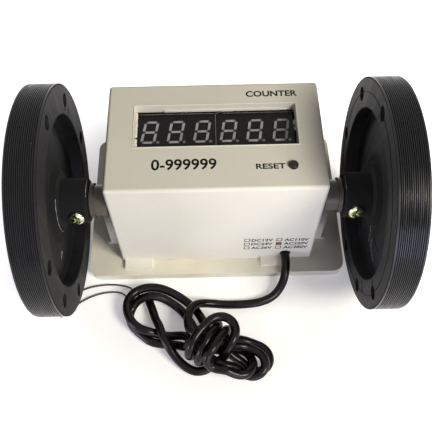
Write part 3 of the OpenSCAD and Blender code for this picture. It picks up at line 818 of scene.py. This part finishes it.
@dataclass
class Studio:
    """The camera at the photograph's angle, soft lamps, and a pale floor."""

    place: tuple[float, float, float] = (-0.0028, -0.1501, 0.2973)
    yaw: float = math.radians(0.37)
    pitch: float = math.radians(61.59)
    roll: float = math.radians(0.99)
    lens: float = 50.55
    sensor_mm: float = 36.0
    shift: tuple[float, float] = (0.0157, 0.0305)
    clip: tuple[float, float] = (0.01, 20.0)
    lamps: tuple[Lamp, ...] = (
        Lamp("key", 51, 42, 0.42, 12.9, "#fffcee"),
        Lamp("front", 14, 11, 0.6, 5.2, "#dbe3ff"),
        Lamp("side", -58, 6, 0.35, 5.6, "#ebecff"),
    )
    lamp_reach: float = 1.2
    middle: tuple[float, float, float] = (0.0, 0.0, 0.045)
    ambient: float = 0.045
    ambient_code: str = "#fff0cc"
    floor_half: float = 3.0
    floor_code: str = "#f7f6f6"
    floor_roughness: float = 0.8
    glow_code: str = "#fffcff"
    glow_least: float = 0.28
    glow_reach: tuple[float, float] = (0.07, 0.13)

    def camera(self) -> None:
        """Makes the camera.

        Its heading is turned by yaw from +Y and dips by pitch, and roll turns it about that.
        """
        level = Vector((math.cos(self.yaw), -math.sin(self.yaw), 0.0))
        ahead = Vector((math.sin(self.yaw), math.cos(self.yaw), 0.0)) * math.cos(self.pitch)
        heading = ahead - Vector((0.0, 0.0, math.sin(self.pitch)))
        dip = heading.cross(level)
        right = level * math.cos(self.roll) + dip * math.sin(self.roll)
        down = dip * math.cos(self.roll) - level * math.sin(self.roll)
        data = bpy.data.cameras.new("camera")
        data.lens, data.sensor_width = self.lens, self.sensor_mm
        data.shift_x, data.shift_y = self.shift
        data.clip_start, data.clip_end = self.clip
        made = placed("camera", data)
        turn = Matrix((right, -down, -heading)).transposed().to_4x4()
        made.matrix_world = Matrix.Translation(self.place) @ turn
        bpy.context.scene.camera = made

    def lamp(self, spec: Lamp) -> None:
        """Adds a lamp that faces the counter's middle from lamp_reach away.

        Args:
            spec: The lamp.
        """
        data = bpy.data.lights.new(spec.name, "AREA")
        data.shape, data.size, data.energy = "SQUARE", spec.size, spec.power
        data.color = linear(spec.code)[:3]
        right, height = math.radians(spec.right), math.radians(spec.height)
        level = Vector((math.sin(right), -math.cos(right), 0.0)) * math.cos(height)
        towards = level + Vector((0.0, 0.0, math.sin(height)))
        made = placed(spec.name, data)
        made.location = Vector(self.middle) + towards * self.lamp_reach
        made.rotation_mode = "QUATERNION"
        made.rotation_quaternion = (-towards).to_track_quat("-Z", "Y")

    def seen_ray(self, tree: Tree) -> Socket:
        """Gives a socket that is 1 on camera, glossy and transmission rays, and 0 on others.

        Args:
            tree: The node tree.

        Returns:
            The socket.
        """
        path = node(tree, "LightPath")
        seen = path["Is Camera Ray"]
        for kind in ("Is Glossy Ray", "Is Transmission Ray"):
            seen = node(tree, "Math", {0: seen, 1: path[kind]}, operation="MAXIMUM")[0]
        return seen

    def lights(self) -> None:
        """Lights the counter from the right, with low soft lamps at the front and the left."""
        for spec in self.lamps:
            self.lamp(spec)
        world = bpy.data.worlds.new("world")
        bpy.context.scene.world = world
        world.use_nodes = True
        tree = world.node_tree
        tree.nodes.clear()
        soft, white = (
            node(tree, "Background", {"Color": linear(code), "Strength": strength})[0]
            for code, strength in ((self.ambient_code, self.ambient), ("#ffffff", 1.0))
        )
        both = node(tree, "MixShader", {0: self.seen_ray(tree), 1: soft, 2: white})
        node(tree, "OutputWorld", {"Surface": both[0]})

    def floor(self) -> None:
        """Lays a plain pale floor that keeps the counter's shadow and fades to white around it.

        What is seen of it glows, least within the first of glow_reach from its middle.
        """
        half = self.floor_half
        corners = [(-half, -half, 0), (half, -half, 0), (half, half, 0), (-half, half, 0)]
        mesh = bpy.data.meshes.new("floor")
        mesh.from_pydata(corners, [], [(0, 1, 2, 3)])
        material, tree = blank_material("floor_paper_white")
        place = node(tree, "TexCoord")["Object"]
        reach = node(tree, "VectorMath", {0: place}, operation="LENGTH")["Value"]
        near, far = self.glow_reach
        grown = {"Value": reach, "From Min": near, "From Max": far, "To Min": self.glow_least}
        share = node(tree, "MapRange", grown, interpolation_type="SMOOTHSTEP")[0]
        glow = node(tree, "Math", {0: self.seen_ray(tree), 1: share}, operation="MULTIPLY")
        paper = {
            "Base Color": linear(self.floor_code),
            "Roughness": self.floor_roughness,
            "Emission Color": linear(self.glow_code),
            "Emission Strength": glow[0],
        }
        shader = node(tree, "BsdfPrincipled", paper)
        node(tree, "OutputMaterial", {"Surface": shader["BSDF"]})
        mesh.materials.append(material)
        placed("floor", mesh)


# ---------------------------------------------------------------------------------------------
# Cord and wires

# Centre line of the sheathed cord, in millimetres: out of the gland, down to the floor, over the
# left loops into the knot, round the loops on both sides, four times round the knot, and along
# the floor to the end of its sheath.
CORD_ROUTE = (
    (35.6, -7.5, 10), (35.6, -12, 10), (35.2, -17, 8.6), (34, -21.5, 6), (31.5, -25.5, 3.6),
    (27.5, -29, 2.4), (21, -31.5, 2.2), (13, -32.4, 2.2), (5, -32.4, 2.2), (-1, -32.2, 3),
    (-7.8, -32.6, 5.2), (-11.7, -34.7, 7.8), (-14.2, -38.5, 9.8), (-14.9, -43.2, 11.3),
    (-14.3, -48, 12), (-11, -51.6, 12.7), (-6.3, -53.1, 13.4), (-1.6, -54.9, 13.9),
    (2.9, -56.5, 12.9), (7.4, -56.8, 10.6), (11.9, -56.7, 8.7), (16.6, -58.3, 7.6),
    (20.6, -61.2, 7.4), (21.9, -65.9, 6.9), (19.2, -69.8, 6.1), (14.4, -70.5, 5.5),
    (10, -68.6, 6.8), (6.1, -66.8, 9.3), (1.6, -66.3, 11.2), (-2.7, -63.9, 11), (-6.4, -60.9, 9.5),
    (-10.1, -57.7, 8.3), (-12.7, -53.9, 6.3), (-15.6, -50.2, 4.9), (-19.9, -48.7, 3.1),
    (-24.8, -48.5, 2.2), (-29.7, -47.8, 3), (-34, -47.2, 5.5), (-38.6, -45.8, 6.6),
    (-42.5, -42.7, 6.9), (-45, -38.5, 7), (-45.8, -33.5, 7.1), (-44.3, -28.8, 7.1),
    (-40.6, -25.5, 7), (-35.8, -24, 6.8), (-30.9, -23.9, 6.1), (-26.1, -24.9, 4.8),
    (-21.7, -26.7, 3.3), (-17.5, -29.2, 2.3), (-13.7, -32.5, 2.3), (-10.7, -36.3, 3.1),
    (-8.4, -40.5, 4.7), (-6.6, -44.9, 6.4), (-4.5, -49.2, 8), (-1, -52.5, 8.9), (3.7, -53.9, 8.4),
    (8.2, -52.7, 6.6), (12.6, -52.4, 4.3), (17.2, -53.6, 2.8), (21.7, -55.7, 2.2),
    (24.4, -59.8, 2.2), (23.6, -64.6, 2.2), (19.5, -67.2, 2.2), (14.7, -66.2, 2.4), (11, -63, 3.3),
    (7, -60.7, 5.2), (3.3, -58.6, 7.8), (-0.9, -58.7, 10.4), (-5, -58.4, 13.2), (-9.5, -56.8, 14.2),
    (-13.8, -55.8, 12), (-16.5, -55.9, 7.8), (-19.4, -54.3, 4.2), (-24, -53.2, 2.7),
    (-29, -52.5, 2.5), (-33.7, -51.1, 2.2), (-37.7, -48.1, 2.2), (-41.4, -44.7, 2.2),
    (-44.2, -40.6, 2.2), (-44.5, -35.6, 2.4), (-42.2, -31.5, 3.7), (-38.3, -29.4, 5.9),
    (-33.5, -28.7, 6.8), (-28.7, -29.2, 5.5), (-24.4, -30.9, 3.6), (-20.4, -33.7, 2.6),
    (-17.1, -37.4, 3.2), (-14.5, -41.5, 4.4), (-12.2, -45.8, 5.6), (-9.6, -50, 6.6),
    (-6.4, -53.8, 7.2), (-2.3, -56.4, 6.5), (1.7, -57.4, 3.7), (6.4, -56.6, 2.3), (11.3, -57, 2.5),
    (14.8, -60.2, 3.7), (16.1, -64.2, 6.3), (15.3, -68.1, 9.2), (11.8, -71.1, 10.8),
    (7.1, -71.1, 12.1), (2.7, -69.8, 14.1), (-2.2, -68.8, 14), (-5.6, -66.8, 16.6),
    (-4.9, -63.8, 20.3), (-1.9, -59.9, 21.1), (0.5, -55.8, 19.7), (2.7, -52, 17.2),
    (4.1, -49.6, 13.2), (3.9, -49.2, 8.3), (2.1, -51.2, 4.2), (-1.5, -54, 2.2), (-4.6, -57.8, 2.4),
    (-7.6, -61.4, 4.1), (-9.7, -63.6, 7.9), (-9.9, -63.5, 12.8), (-8.4, -61.2, 17),
    (-6.2, -57.4, 19.2), (-3.6, -53.1, 19), (-1.2, -49.5, 16.6), (0, -46.9, 12.5), (-0.2, -47, 7.6),
    (-2.4, -49, 3.7), (-6.1, -52, 2.2), (-9.3, -55.9, 2.3), (-12.5, -59.1, 4.2),
    (-14.3, -60.8, 8.5), (-14.3, -60.6, 13.4), (-13, -58.3, 17.5), (-10.6, -54.3, 19.4),
    (-7.4, -50.5, 19.8), (-3.9, -47, 19.5), (0.6, -45.1, 18.9), (5.3, -46.5, 18.7),
    (7.8, -50.7, 18.4), (7, -55.5, 18), (4.6, -59.4, 16.2), (2.9, -61.7, 12.1), (0.8, -62.7, 7.8),
    (-2.6, -64.1, 4.5), (-6.8, -66.1, 2.6), (-11.7, -66.6, 2.2), (-16.2, -64.5, 2.5),
    (-19.9, -61.3, 3.5), (-22.9, -57.8, 5.4), (-25.4, -53.9, 7.2), (-27.8, -49.4, 7.7),
    (-29.4, -44.8, 6.9), (-31.2, -40.8, 4.5), (-32.8, -36.3, 3.1), (-34.4, -31.6, 2.4),
    (-36.3, -27, 2.4),
)  # fmt: skip

# Centre lines of the two wires, in millimetres, from the end of the sheath to their bare ends.
WIRE_ROUTES = {
    "wire_long": (
        (-36.8, -27.6, 2.6), (-39, -26.6, 1.6), (-41.5, -25, 0.8), (-45, -21.6, 0.8),
        (-50, -19.8, 0.8), (-56, -19.2, 0.8), (-62, -19.6, 0.8), (-68, -21, 0.8), (-74, -24, 0.8),
    ),
    "wire_short": (
        (-37.4, -28.8, 1.9), (-40.6, -28.8, 1.1), (-45, -28, 0.8), (-49, -24.6, 0.8),
        (-54, -23.4, 0.8), (-60, -24, 0.8), (-66, -26, 0.8), (-72, -29.5, 0.8), (-77, -34, 0.8),
    ),
}  # fmt: skip


@dataclass
class SupplyCord:
    """The round cord from its gland to the end of its sheath, and the two wires beyond it."""

    radius_mm: float = 2.2
    edge_mm: float = 0.25
    step_mm: float = 0.9
    sides: int = 20
    wire_mm: float = 0.5
    wire_sides: int = 12
    strand_mm: float = 0.36
    strand_span_mm: tuple[float, float] = (-0.3, 4.5)
    strand_sides: int = 36
    strand_dip: float = 0.12
    strand_lay_mm: float = 3.0

    def sheath(self) -> None:
        route = spline(CORD_ROUTE, self.step_mm)
        steps = np.arange(len(route))
        ends = np.minimum(steps, steps[::-1]) * self.step_mm
        radii = self.radius_mm - self.edge_mm * np.exp(-ends / self.edge_mm)
        made = mesh_piece("supply_cord", *tube(route, radii, self.sides), CORD_PVC, "cord_pvc")
        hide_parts("power_cord", "cord_hank")

    def wire(self, name: str) -> None:
        """At an angle a and s mm along it the stripped end's radius is strand_mm * (1 - dip + dip *
        |cos(6 a - 2 pi s / lay)|), which gives the ridges of its twisted strands.

        Args:
            name: The CAD node that it replaces, which also gives its route.
        """
        route = spline(WIRE_ROUTES[name], self.step_mm)
        core = tube(route, self.wire_mm, self.wire_sides)
        made = mesh_piece(f"{name}_core", *core, WIRE_PVC, "wire_grey")
        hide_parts(name)
        heading = (route[-1] - route[-2]) / np.linalg.norm(route[-1] - route[-2])
        along = np.linspace(*self.strand_span_mm, 24)[:, None]
        angle = 2 * np.pi * np.arange(self.strand_sides) / self.strand_sides
        ridge = np.abs(np.cos(6 * angle - 2 * np.pi * along / self.strand_lay_mm))
        radii = self.strand_mm * (1 - self.strand_dip + self.strand_dip * ridge)
        strands = tube(route[-1] + heading * along, radii, self.strand_sides)
        bare = mesh_piece(f"{name}_strands", *strands, TINNED, "steel")

    def build(self) -> None:
        """Makes the cord and both wires."""
        self.sheath()
        for name in WIRE_ROUTES:
            self.wire(name)


# ---------------------------------------------------------------------------------------------
# Finishes of the CAD nodes


@dataclass(frozen=True)
class CadFinishes:
    """Gives every CAD node that stays in view its finish. The nodes' names stand in a row."""

    table: tuple[tuple[Finish, str], ...] = (
        (BRACKET_PAINT, "base_frame"),
        (BOX_PLASTIC, "housing"),
        (DISPLAY_ABS, "display_left display_right"),
        (LIGHT_GUIDE, "digit_bars"),
        (BUTTON_ABS, "reset_button switch_plunger"),
        (WHEEL_NYLON, "wheel_left wheel_right"),
        (BOARD_MASK, "display_board main_board terminal_block"),
        (PART_BLACK, "reset_switch controller_chip hall_sensor magnet_ring cord_gland"),
        (WINDING_TAPE, "transformer_winding"),
        (SLEEVE_PVC, "capacitors"),
        (CORE_PLATES, "transformer_core"),
        (WIRE_PVC, "ribbon_cable"),
        (STEEL_DRAWN, "shaft cover_screws display_board_screws main_board_screws"),
        (STEEL_GROUND, "bearing_left bearing_right race_left race_right"),
        (STEEL_GROUND, "retaining_rings hub_washers"),
        (YELLOW_ZINC, "hub_screws"),
    )

    def build(self) -> None:
        """Puts one material into every slot of each node."""
        for finish, names in self.table:
            for name in names.split():
                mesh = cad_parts[name].data
                mesh.materials.clear()
                mesh.materials.append(finish.material())
                LOG.info("%s: %s", name, finish.name)


# ---------------------------------------------------------------------------------------------
# Printing


class Face(Enum):
    """The faces of the box that carry printing.

    Each gives the turn from the lettering's own plane, and where its origin goes.
    """

    TOP = (((1, 0, 0), (0, 1, 0), (0, 0, 1)), (0, 0, BOX_TOP))
    FRONT = (((1, 0, 0), (0, 0, -1), (0, 1, 0)), (0, BOX_FRONT, 0))


@dataclass(frozen=True)
class Print:
    """A line of lettering, fitted into a box on a face.

    Its box is left, right, low and high in millimetres: along X, and up the face.
    """

    name: str
    text: str
    face: Face
    box: tuple[float, float, float, float]
    bold: float


@dataclass
class BoxPrinting:
    """What is printed on the box: plain words and numbers, and the supply table.

    The ink stands thickness proud of its face, and is sunk into it by a share of that. Of the
    table's squares the chosen one is given by its column and row.
    """

    thickness: float = 0.02
    sunk: float = 0.5
    lines: tuple[Print, ...] = (
        Print("print_counter", "COUNTER", Face.TOP, (15.2, 39.3, 43.8, 47.3), 0.026),
        Print("print_reset", "RESET", Face.TOP, (17.8, 30.9, 2.8, 5.7), 0.026),
        Print("print_range", "0-999999", Face.TOP, (-28.5, 0.5, 3.2, 9.1), 0.02),
        Print("print_dc12", "DC12V", Face.FRONT, (17.5, 28.2, 23.4, 26.1), 0.03),
        Print("print_dc24", "DC24V", Face.FRONT, (17.5, 28.2, 19.4, 22.1), 0.03),
        Print("print_ac36", "AC36V", Face.FRONT, (17.6, 28.2, 15.3, 18.0), 0.03),
        Print("print_ac110", "AC110V", Face.FRONT, (34.0, 46.2, 23.3, 26.0), 0.03),
        Print("print_ac220", "AC220V", Face.FRONT, (34.0, 46.3, 19.3, 22.0), 0.03),
        Print("print_ac380", "AC380V", Face.FRONT, (34.0, 46.4, 15.3, 18.0), 0.03),
    )
    mark_columns: tuple[float, float] = (13.9, 29.9)
    mark_rows: tuple[float, float, float] = (23.5, 19.4, 15.3)
    mark_size: float = 2.9
    mark_line: float = 0.42
    chosen: tuple[int, int] = (1, 1)

    def line(self, spec: Print) -> None:
        """Makes one line of lettering as a thin mesh that stands on its face.

        Args:
            spec: The line.
        """
        curve = bpy.data.curves.new(spec.name, "FONT")
        curve.body, curve.size, curve.offset = spec.text, 1.0, spec.bold
        curve.extrude, curve.resolution_u = 0.5, 4
        holder = placed(spec.name, curve)
        bpy.context.view_layer.update()
        mesh = bpy.data.meshes.new_from_object(holder)
        bpy.data.objects.remove(holder)
        points = np.empty(3 * len(mesh.vertices))
        mesh.vertices.foreach_get("co", points)
        faces = [list(polygon.vertices) for polygon in mesh.polygons]
        bpy.data.meshes.remove(mesh)
        points = points.reshape(-1, 3)
        share = (points - points.min(axis=0)) / np.ptp(points, axis=0)
        left, right, low, high = spec.box
        start = np.array((left, low, -self.sunk * self.thickness))
        end = np.array((right, high, self.thickness))
        turn, origin = (np.array(part) for part in spec.face.value)
        points = (start + share * (end - start)) @ turn.T + origin
        mesh_piece(spec.name, points, faces, INK_BLACK, "part_black", smooth=False)

    def bars(self, name: str, boxes: Sequence[Sequence[float]], finish: Finish) -> None:
        """Makes thin printed bars on the front face.

        Args:
            name: The piece's name.
            boxes: Left, right, low and high of each bar, in millimetres.
            finish: The ink.
        """
        left, right, low, high = np.array(boxes, float).T
        near, far = BOX_FRONT - self.thickness, BOX_FRONT + self.sunk * self.thickness
        corners = [
            np.column_stack([x, np.full(len(x), y), z])
            for y in (near, far)
            for x, z in ((left, low), (right, low), (right, high), (left, high))
        ]
        sides = [(0, 1, 2, 3), (5, 4, 7, 6), (4, 5, 1, 0), (3, 2, 6, 7), (4, 0, 3, 7), (1, 5, 6, 2)]
        faces = np.array(sides) + 8 * np.arange(len(left))[:, None, None]
        points = np.stack(corners, axis=1).reshape(-1, 3)
        mesh_piece(name, points, faces.reshape(-1, 4), finish, "part_black", smooth=False)

    def marks(self) -> None:
        """Prints the six open squares of the supply table, and fills the chosen one in red."""
        size, line = self.mark_size, self.mark_line
        squares: list[tuple[float, float, float, float]] = []
        for x in self.mark_columns:
            for z in self.mark_rows:
                squares += [
                    (x, x + size, z, z + line),
                    (x, x + size, z + size - line, z + size),
                    (x, x + line, z + line, z + size - line),
                    (x + size - line, x + size, z + line, z + size - line),
                ]
        self.bars("print_squares", squares, INK_BLACK)
        x, z = self.mark_columns[self.chosen[0]], self.mark_rows[self.chosen[1]]
        inner = (x + line, x + size - line, z + line, z + size - line)
        self.bars("print_chosen", [inner], INK_RED)

    def build(self) -> None:
        """Prints everything."""
        for spec in self.lines:
            self.line(spec)
        self.marks()


# ---------------------------------------------------------------------------------------------
# Display window


@dataclass
class DisplayWindow:
    """Trim of the display window: its lip, the glue that holds the modules, and pale lines that
    paint highlights along the modules' seam and top steps.

    Everything is in millimetres. Beads give their place along X, their start and end along Y and
    a seed; lumps give their middle, their half sizes and a seed; ribs give their radius and the
    points that they pass, along X and Y.
    """

    centre: tuple[float, float] = (0.5, 27.9)
    lip_size: tuple[float, float] = (75.3, 24.1)
    lip_radius: float = 0.32
    lip_corner: float = 0.5
    lip_sunk: float = 0.12
    beads: tuple[tuple[str, float, float, float, int], ...] = (
        ("glue_bead_high", -36.42, 24.6, 39.3, 2),
        ("glue_bead_low", -36.42, 16.4, 23.9, 4),
    )
    bead_radius: float = 0.66
    bead_sunk: float = 0.05
    bead_swell: float = 0.05
    bead_waves: tuple[float, ...] = (9.0, 4.1, 2.2)
    bead_step: float = 0.2
    bead_end: float = 0.5
    lumps: tuple[tuple[str, tuple[float, ...], tuple[float, ...], int], ...] = (
        ("glue_left", (-36.3, 31.6, 68.3), (0.7, 2.3, 0.9), 3),
        ("glue_left_low", (-36.4, 27.6, 68.3), (0.6, 1.9, 0.8), 8),
        ("glue_right", (37.35, 31.4, 68.3), (0.55, 1.6, 0.8), 5),
        ("glue_right_low", (37.3, 28.0, 68.3), (0.5, 1.2, 0.7), 9),
    )
    lump_swell: float = 0.13
    slip_span: tuple[float, float] = (-23.8, 36.4)
    slip_middle: tuple[float, float] = (39.34, 68.6)
    slip_half: tuple[float, float] = (0.26, 0.95)
    slip_taper: float = 6.0
    slip_close: float = 0.4
    rib_rise: float = 0.02
    # The ribs are painted highlights: pale lines on the modules' seam and top steps.
    ribs: tuple[tuple[str, float, tuple[tuple[float, float], ...]], ...] = (
        (
            "module_edge",
            0.13,
            ((0.62, 17.2), (0.6, 24), (0.6, 31), (0.6, 36), (0.9, 37.6), (2.2, 38.5), (4.5, 38.8),
             (9, 38.9)),
        ),
        ("module_step_left", 0.1, ((-35.4, 37.9), (-17.65, 37.9), (0.1, 37.9))),
        ("module_step_right", 0.1, ((4, 37.9), (20.3, 37.9), (36.6, 37.9))),
    )  # fmt: skip

    def lip(self) -> None:
        """Makes the low round lip that frames the window, its middle sunk into the top.

        The outline is a rectangle with round corners: corner middle + lip_corner * (cos a, sin a),
        with a quarter of a turn at each.
        """
        per_corner = 6
        quarters = np.pi / 2 * np.arange(4)[:, None]
        angle = (np.linspace(0, np.pi / 2, per_corner) + quarters).ravel()
        signs = np.repeat([(1, 1), (-1, 1), (-1, -1), (1, -1)], per_corner, axis=0)
        middles = self.centre + signs * (np.array(self.lip_size) / 2 - self.lip_corner)
        flat = middles + self.lip_corner * np.column_stack([np.cos(angle), np.sin(angle)])
        line = np.column_stack([flat, np.full(len(flat), BOX_TOP - self.lip_sunk)])
        lip = tube(line, self.lip_radius, 12, closed=True)
        mesh_piece("window_lip", *lip, BOX_PLASTIC, "box_plastic")

    def lump(self, name: str, place: Sequence[float], half: Sequence[float], seed: int) -> None:
        """Makes a lump of glue.

        A point at angles u, v is place + half * (cos u sin v, sin u sin v, cos v) * (1 + bumps),
        where the bumps are a few sines of u and v with seeded phases.

        Args:
            name: The piece's name.
            place: Its middle.
            half: Its half sizes along X, Y and Z.
            seed: The seed of its bumps.
        """
        draw = np.random.default_rng(seed)
        rows, sides = 16, 28
        u = 2 * np.pi * np.arange(sides) / sides
        v = np.linspace(0, np.pi, rows + 2)[1:-1]
        uu, vv = np.meshgrid(u, v, indexing="xy")
        swell = np.zeros_like(uu)
        for order in range(1, 5):
            a, b = draw.uniform(0, 2 * np.pi, 2)
            bumps = np.sin(order * uu + a) * np.sin(order * vv + b) * np.sin(vv)
            swell += self.lump_swell / order * bumps
        shape = np.stack([np.cos(uu) * np.sin(vv), np.sin(uu) * np.sin(vv), np.cos(vv)], axis=-1)
        shape *= (1 + swell)[..., None]
        points = np.concatenate([shape.reshape(-1, 3), [(0, 0, 1.0), (0, 0, -1.0)]])
        k = np.arange(sides)
        after, top, last = (k + 1) % sides, rows * sides, (rows - 1) * sides
        upper = np.column_stack([np.full(sides, top), k, after])
        lower = np.column_stack([np.full(sides, top + 1), last + after, last + k])
        faces = [*walls(rows, sides)[:, (0, 3, 2, 1)], *upper, *lower]
        mesh_piece(name, points * half + place, faces, GLUE, "box_plastic")

    def bead(self, name: str, x: float, low: float, high: float, seed: int) -> None:
        """Makes a bead of glue along an end of the window.

        Its radius at a distance s along it is bead_radius with a few seeded sines of s added, and
        it closes over its last bead_end as the root of the distance from the end.

        Args:
            name: The piece's name.
            x: Its place along X.
            low: Where it starts along Y.
            high: Where it ends along Y.
            seed: The seed of its bumps.
        """
        draw = np.random.default_rng(seed)
        along = np.arange(low, high, self.bead_step)
        radii = np.full(len(along), self.bead_radius)
        for wave in self.bead_waves:
            phase = draw.uniform(0, 2 * np.pi)
            radii += self.bead_swell * np.sin(2 * np.pi * along / wave + phase)
        ends = np.minimum(along - low, high - along)
        radii *= np.sqrt(np.clip(ends / self.bead_end, 0.05, 1))
        line = np.column_stack(np.broadcast_arrays(x, along, MODULE_FACE - self.bead_sunk))
        mesh_piece(name, *tube(line, radii, 14), GLUE, "box_plastic")

    def slip(self) -> None:
        """Makes the pale slip that packs the modules against the window's back wall.

        Its section is a rounded strip, half * sign * |cos a|^(1/2) and the same with sin a, which
        is a superellipse of power 4. It tapers over slip_taper to the right, and closes over
        slip_close on the left.
        """
        sides = 20
        along = np.linspace(*self.slip_span, 90)[:, None]
        turn = 2 * np.pi * np.arange(sides) / sides
        (y, z), (thick, tall) = self.slip_middle, self.slip_half
        across, up = (
            half * np.sign(wave) * np.sqrt(np.abs(wave))
            for half, wave in ((thick, np.cos(turn)), (tall, np.sin(turn)))
        )
        start, end = self.slip_span
        taper = np.clip((end + 0.5 - along) / self.slip_taper, 0.25, 1)
        closing = np.clip((along - start + 0.15) / self.slip_close, 0.3, 1)
        parts = np.broadcast_arrays(along, y + across * closing, z + up * taper * closing)
        points = np.stack(parts, axis=-1).reshape(-1, 3)
        faces = ends_closed(len(along), sides)
        mesh_piece("window_slip", points, faces, BOX_PLASTIC, "box_plastic")

    def build(self) -> None:
        """Makes all the trim."""
        self.lip()
        for bead in self.beads:
            self.bead(*bead)
        for lump in self.lumps:
            self.lump(*lump)
        self.slip()
        # Pale lines that paint highlights along the modules' seam and top steps.
        for name, radius, route in self.ribs:
            line = spline([(x, y, MODULE_FACE + self.rib_rise) for x, y in route], 0.3)
            mesh_piece(name, *tube(line, radius, 8), BEZEL_EDGE_HIGHLIGHT, "display_black")


# ---------------------------------------------------------------------------------------------
# Wheels


@dataclass(frozen=True)
class Mark:
    """A fine round line on a wheel, in millimetres and degrees.

    Its radii from the shaft and its turns from the back upwards are spread evenly over a number
    of points. Its x is their distance from the counter's middle, or None on the dished web.
    """

    name: str
    side: int
    radii: tuple[float, ...]
    turns: tuple[float, ...]
    points: int
    x: float | None = None
    finish: Finish = MOULD_LINE
    radius: float = 0.16


@dataclass
class WheelMarks:
    """Mould marks and painted glints on the wheels; side is -1 on the left and 1 on the right.

    The right rim has a circle, open at its gate, and the gate's sides; both rims have strokes.
    Drag marks run over the webs, a cone between the places of web_radii and web_x, and painted
    glints, white lines that stand for light caught by edges, lie round the hubs' ends and the left
    hub's shoulder.
    """

    web_radii: tuple[float, float] = (15.6, 38.2)
    web_x: tuple[float, float] = (73.2, 75.2)
    marks: tuple[Mark, ...] = (
        Mark("right_circle", 1, (46.4,), (217, 550.5), 120, RIM_FACE),
        Mark(
            "right_gate",
            1,
            (40.2, 42.8, 45.4, 46.5, 46.7, 46.8, 46.7, 46.5, 45.4, 42.8, 40.2),
            (190.5, 190.6, 191, 193.5, 198, 203.7, 209.5, 214, 216.4, 216.9, 217),
            11,
            RIM_FACE,
        ),
        Mark("right_stroke_1", 1, (41.2, 44.2), (77,), 5, RIM_FACE),
        Mark("right_stroke_2", 1, (41.2, 43.4), (72.5,), 5, RIM_FACE),
        Mark("left_stroke_1", -1, (41.2, 44.2), (33,), 5, RIM_FACE),
        Mark("left_stroke_2", -1, (41.2, 43.4), (24,), 5, RIM_FACE),
        Mark("right_drag_1", 1, (17, 20, 23, 25.6, 26.6), (211, 215, 213, 208, 202), 5),
        Mark("right_drag_2", 1, (16.8, 19.5, 23, 27), (238, 236, 241, 243), 4, None, FLASH_AND_GLINT, 0.1),
        Mark("right_drag_3", 1, (22, 26, 30, 33), (228, 233, 231, 226), 4, None, FLASH_AND_GLINT, 0.1),
        # Painted glints: white lines where the hubs' ends and the left shoulder catch light.
        Mark("left_shoulder_glint", -1, (14.05,), (118, 206), 14, 70.82, FLASH_AND_GLINT, 0.09),
        Mark("left_hub_glint", -1, (10.42,), (62, 112), 7, 58.28, FLASH_AND_GLINT, 0.11),
        Mark("right_hub_glint", 1, (10.42,), (66, 108), 7, 58.28, FLASH_AND_GLINT, 0.11),
        Mark("left_drag_1", -1, (25, 27, 29), (231, 229, 227.5), 3, None, FLASH_AND_GLINT, 0.12),
        Mark("left_drag_2", -1, (28.4, 29.2, 30.4), (191, 190, 188), 3, None, FLASH_AND_GLINT, 0.12),
    )

    def line(self, mark: Mark) -> None:
        """Carries a mark over its wheel.

        The point at an angle a is (side * x, r cos a, SHAFT_Z + r sin a).

        Args:
            mark: The mark.
        """
        even = np.linspace(0, 1, mark.points)
        r, a = (
            np.interp(even, np.linspace(0, 1, len(given)), given)
            for given in (mark.radii, np.radians(mark.turns))
        )
        x = np.interp(r, self.web_radii, self.web_x) if mark.x is None else mark.x
        parts = np.broadcast_arrays(mark.side * x, r * np.cos(a), SHAFT_Z + r * np.sin(a))
        made = tube(spline(np.column_stack(parts), 0.5), mark.radius, 8)
        mesh_piece(mark.name, *made, mark.finish, "wheel_black", Body.ROTOR)

    def build(self) -> None:
        """Draws everything."""
        for mark in self.marks:
            self.line(mark)


def main() -> None:
    """Builds the scene in order."""
    logging.basicConfig(level=logging.INFO, format="%(name)s: %(message)s")
    bpy.context.scene.view_settings.view_transform = "Standard"
    studio = Studio()
    studio.camera()
    SupplyCord().build()
    CadFinishes().build()
    BoxPrinting().build()
    DisplayWindow().build()
    WheelMarks().build()
    studio.lights()
    studio.floor()


if __name__ == "__main__":
    main()
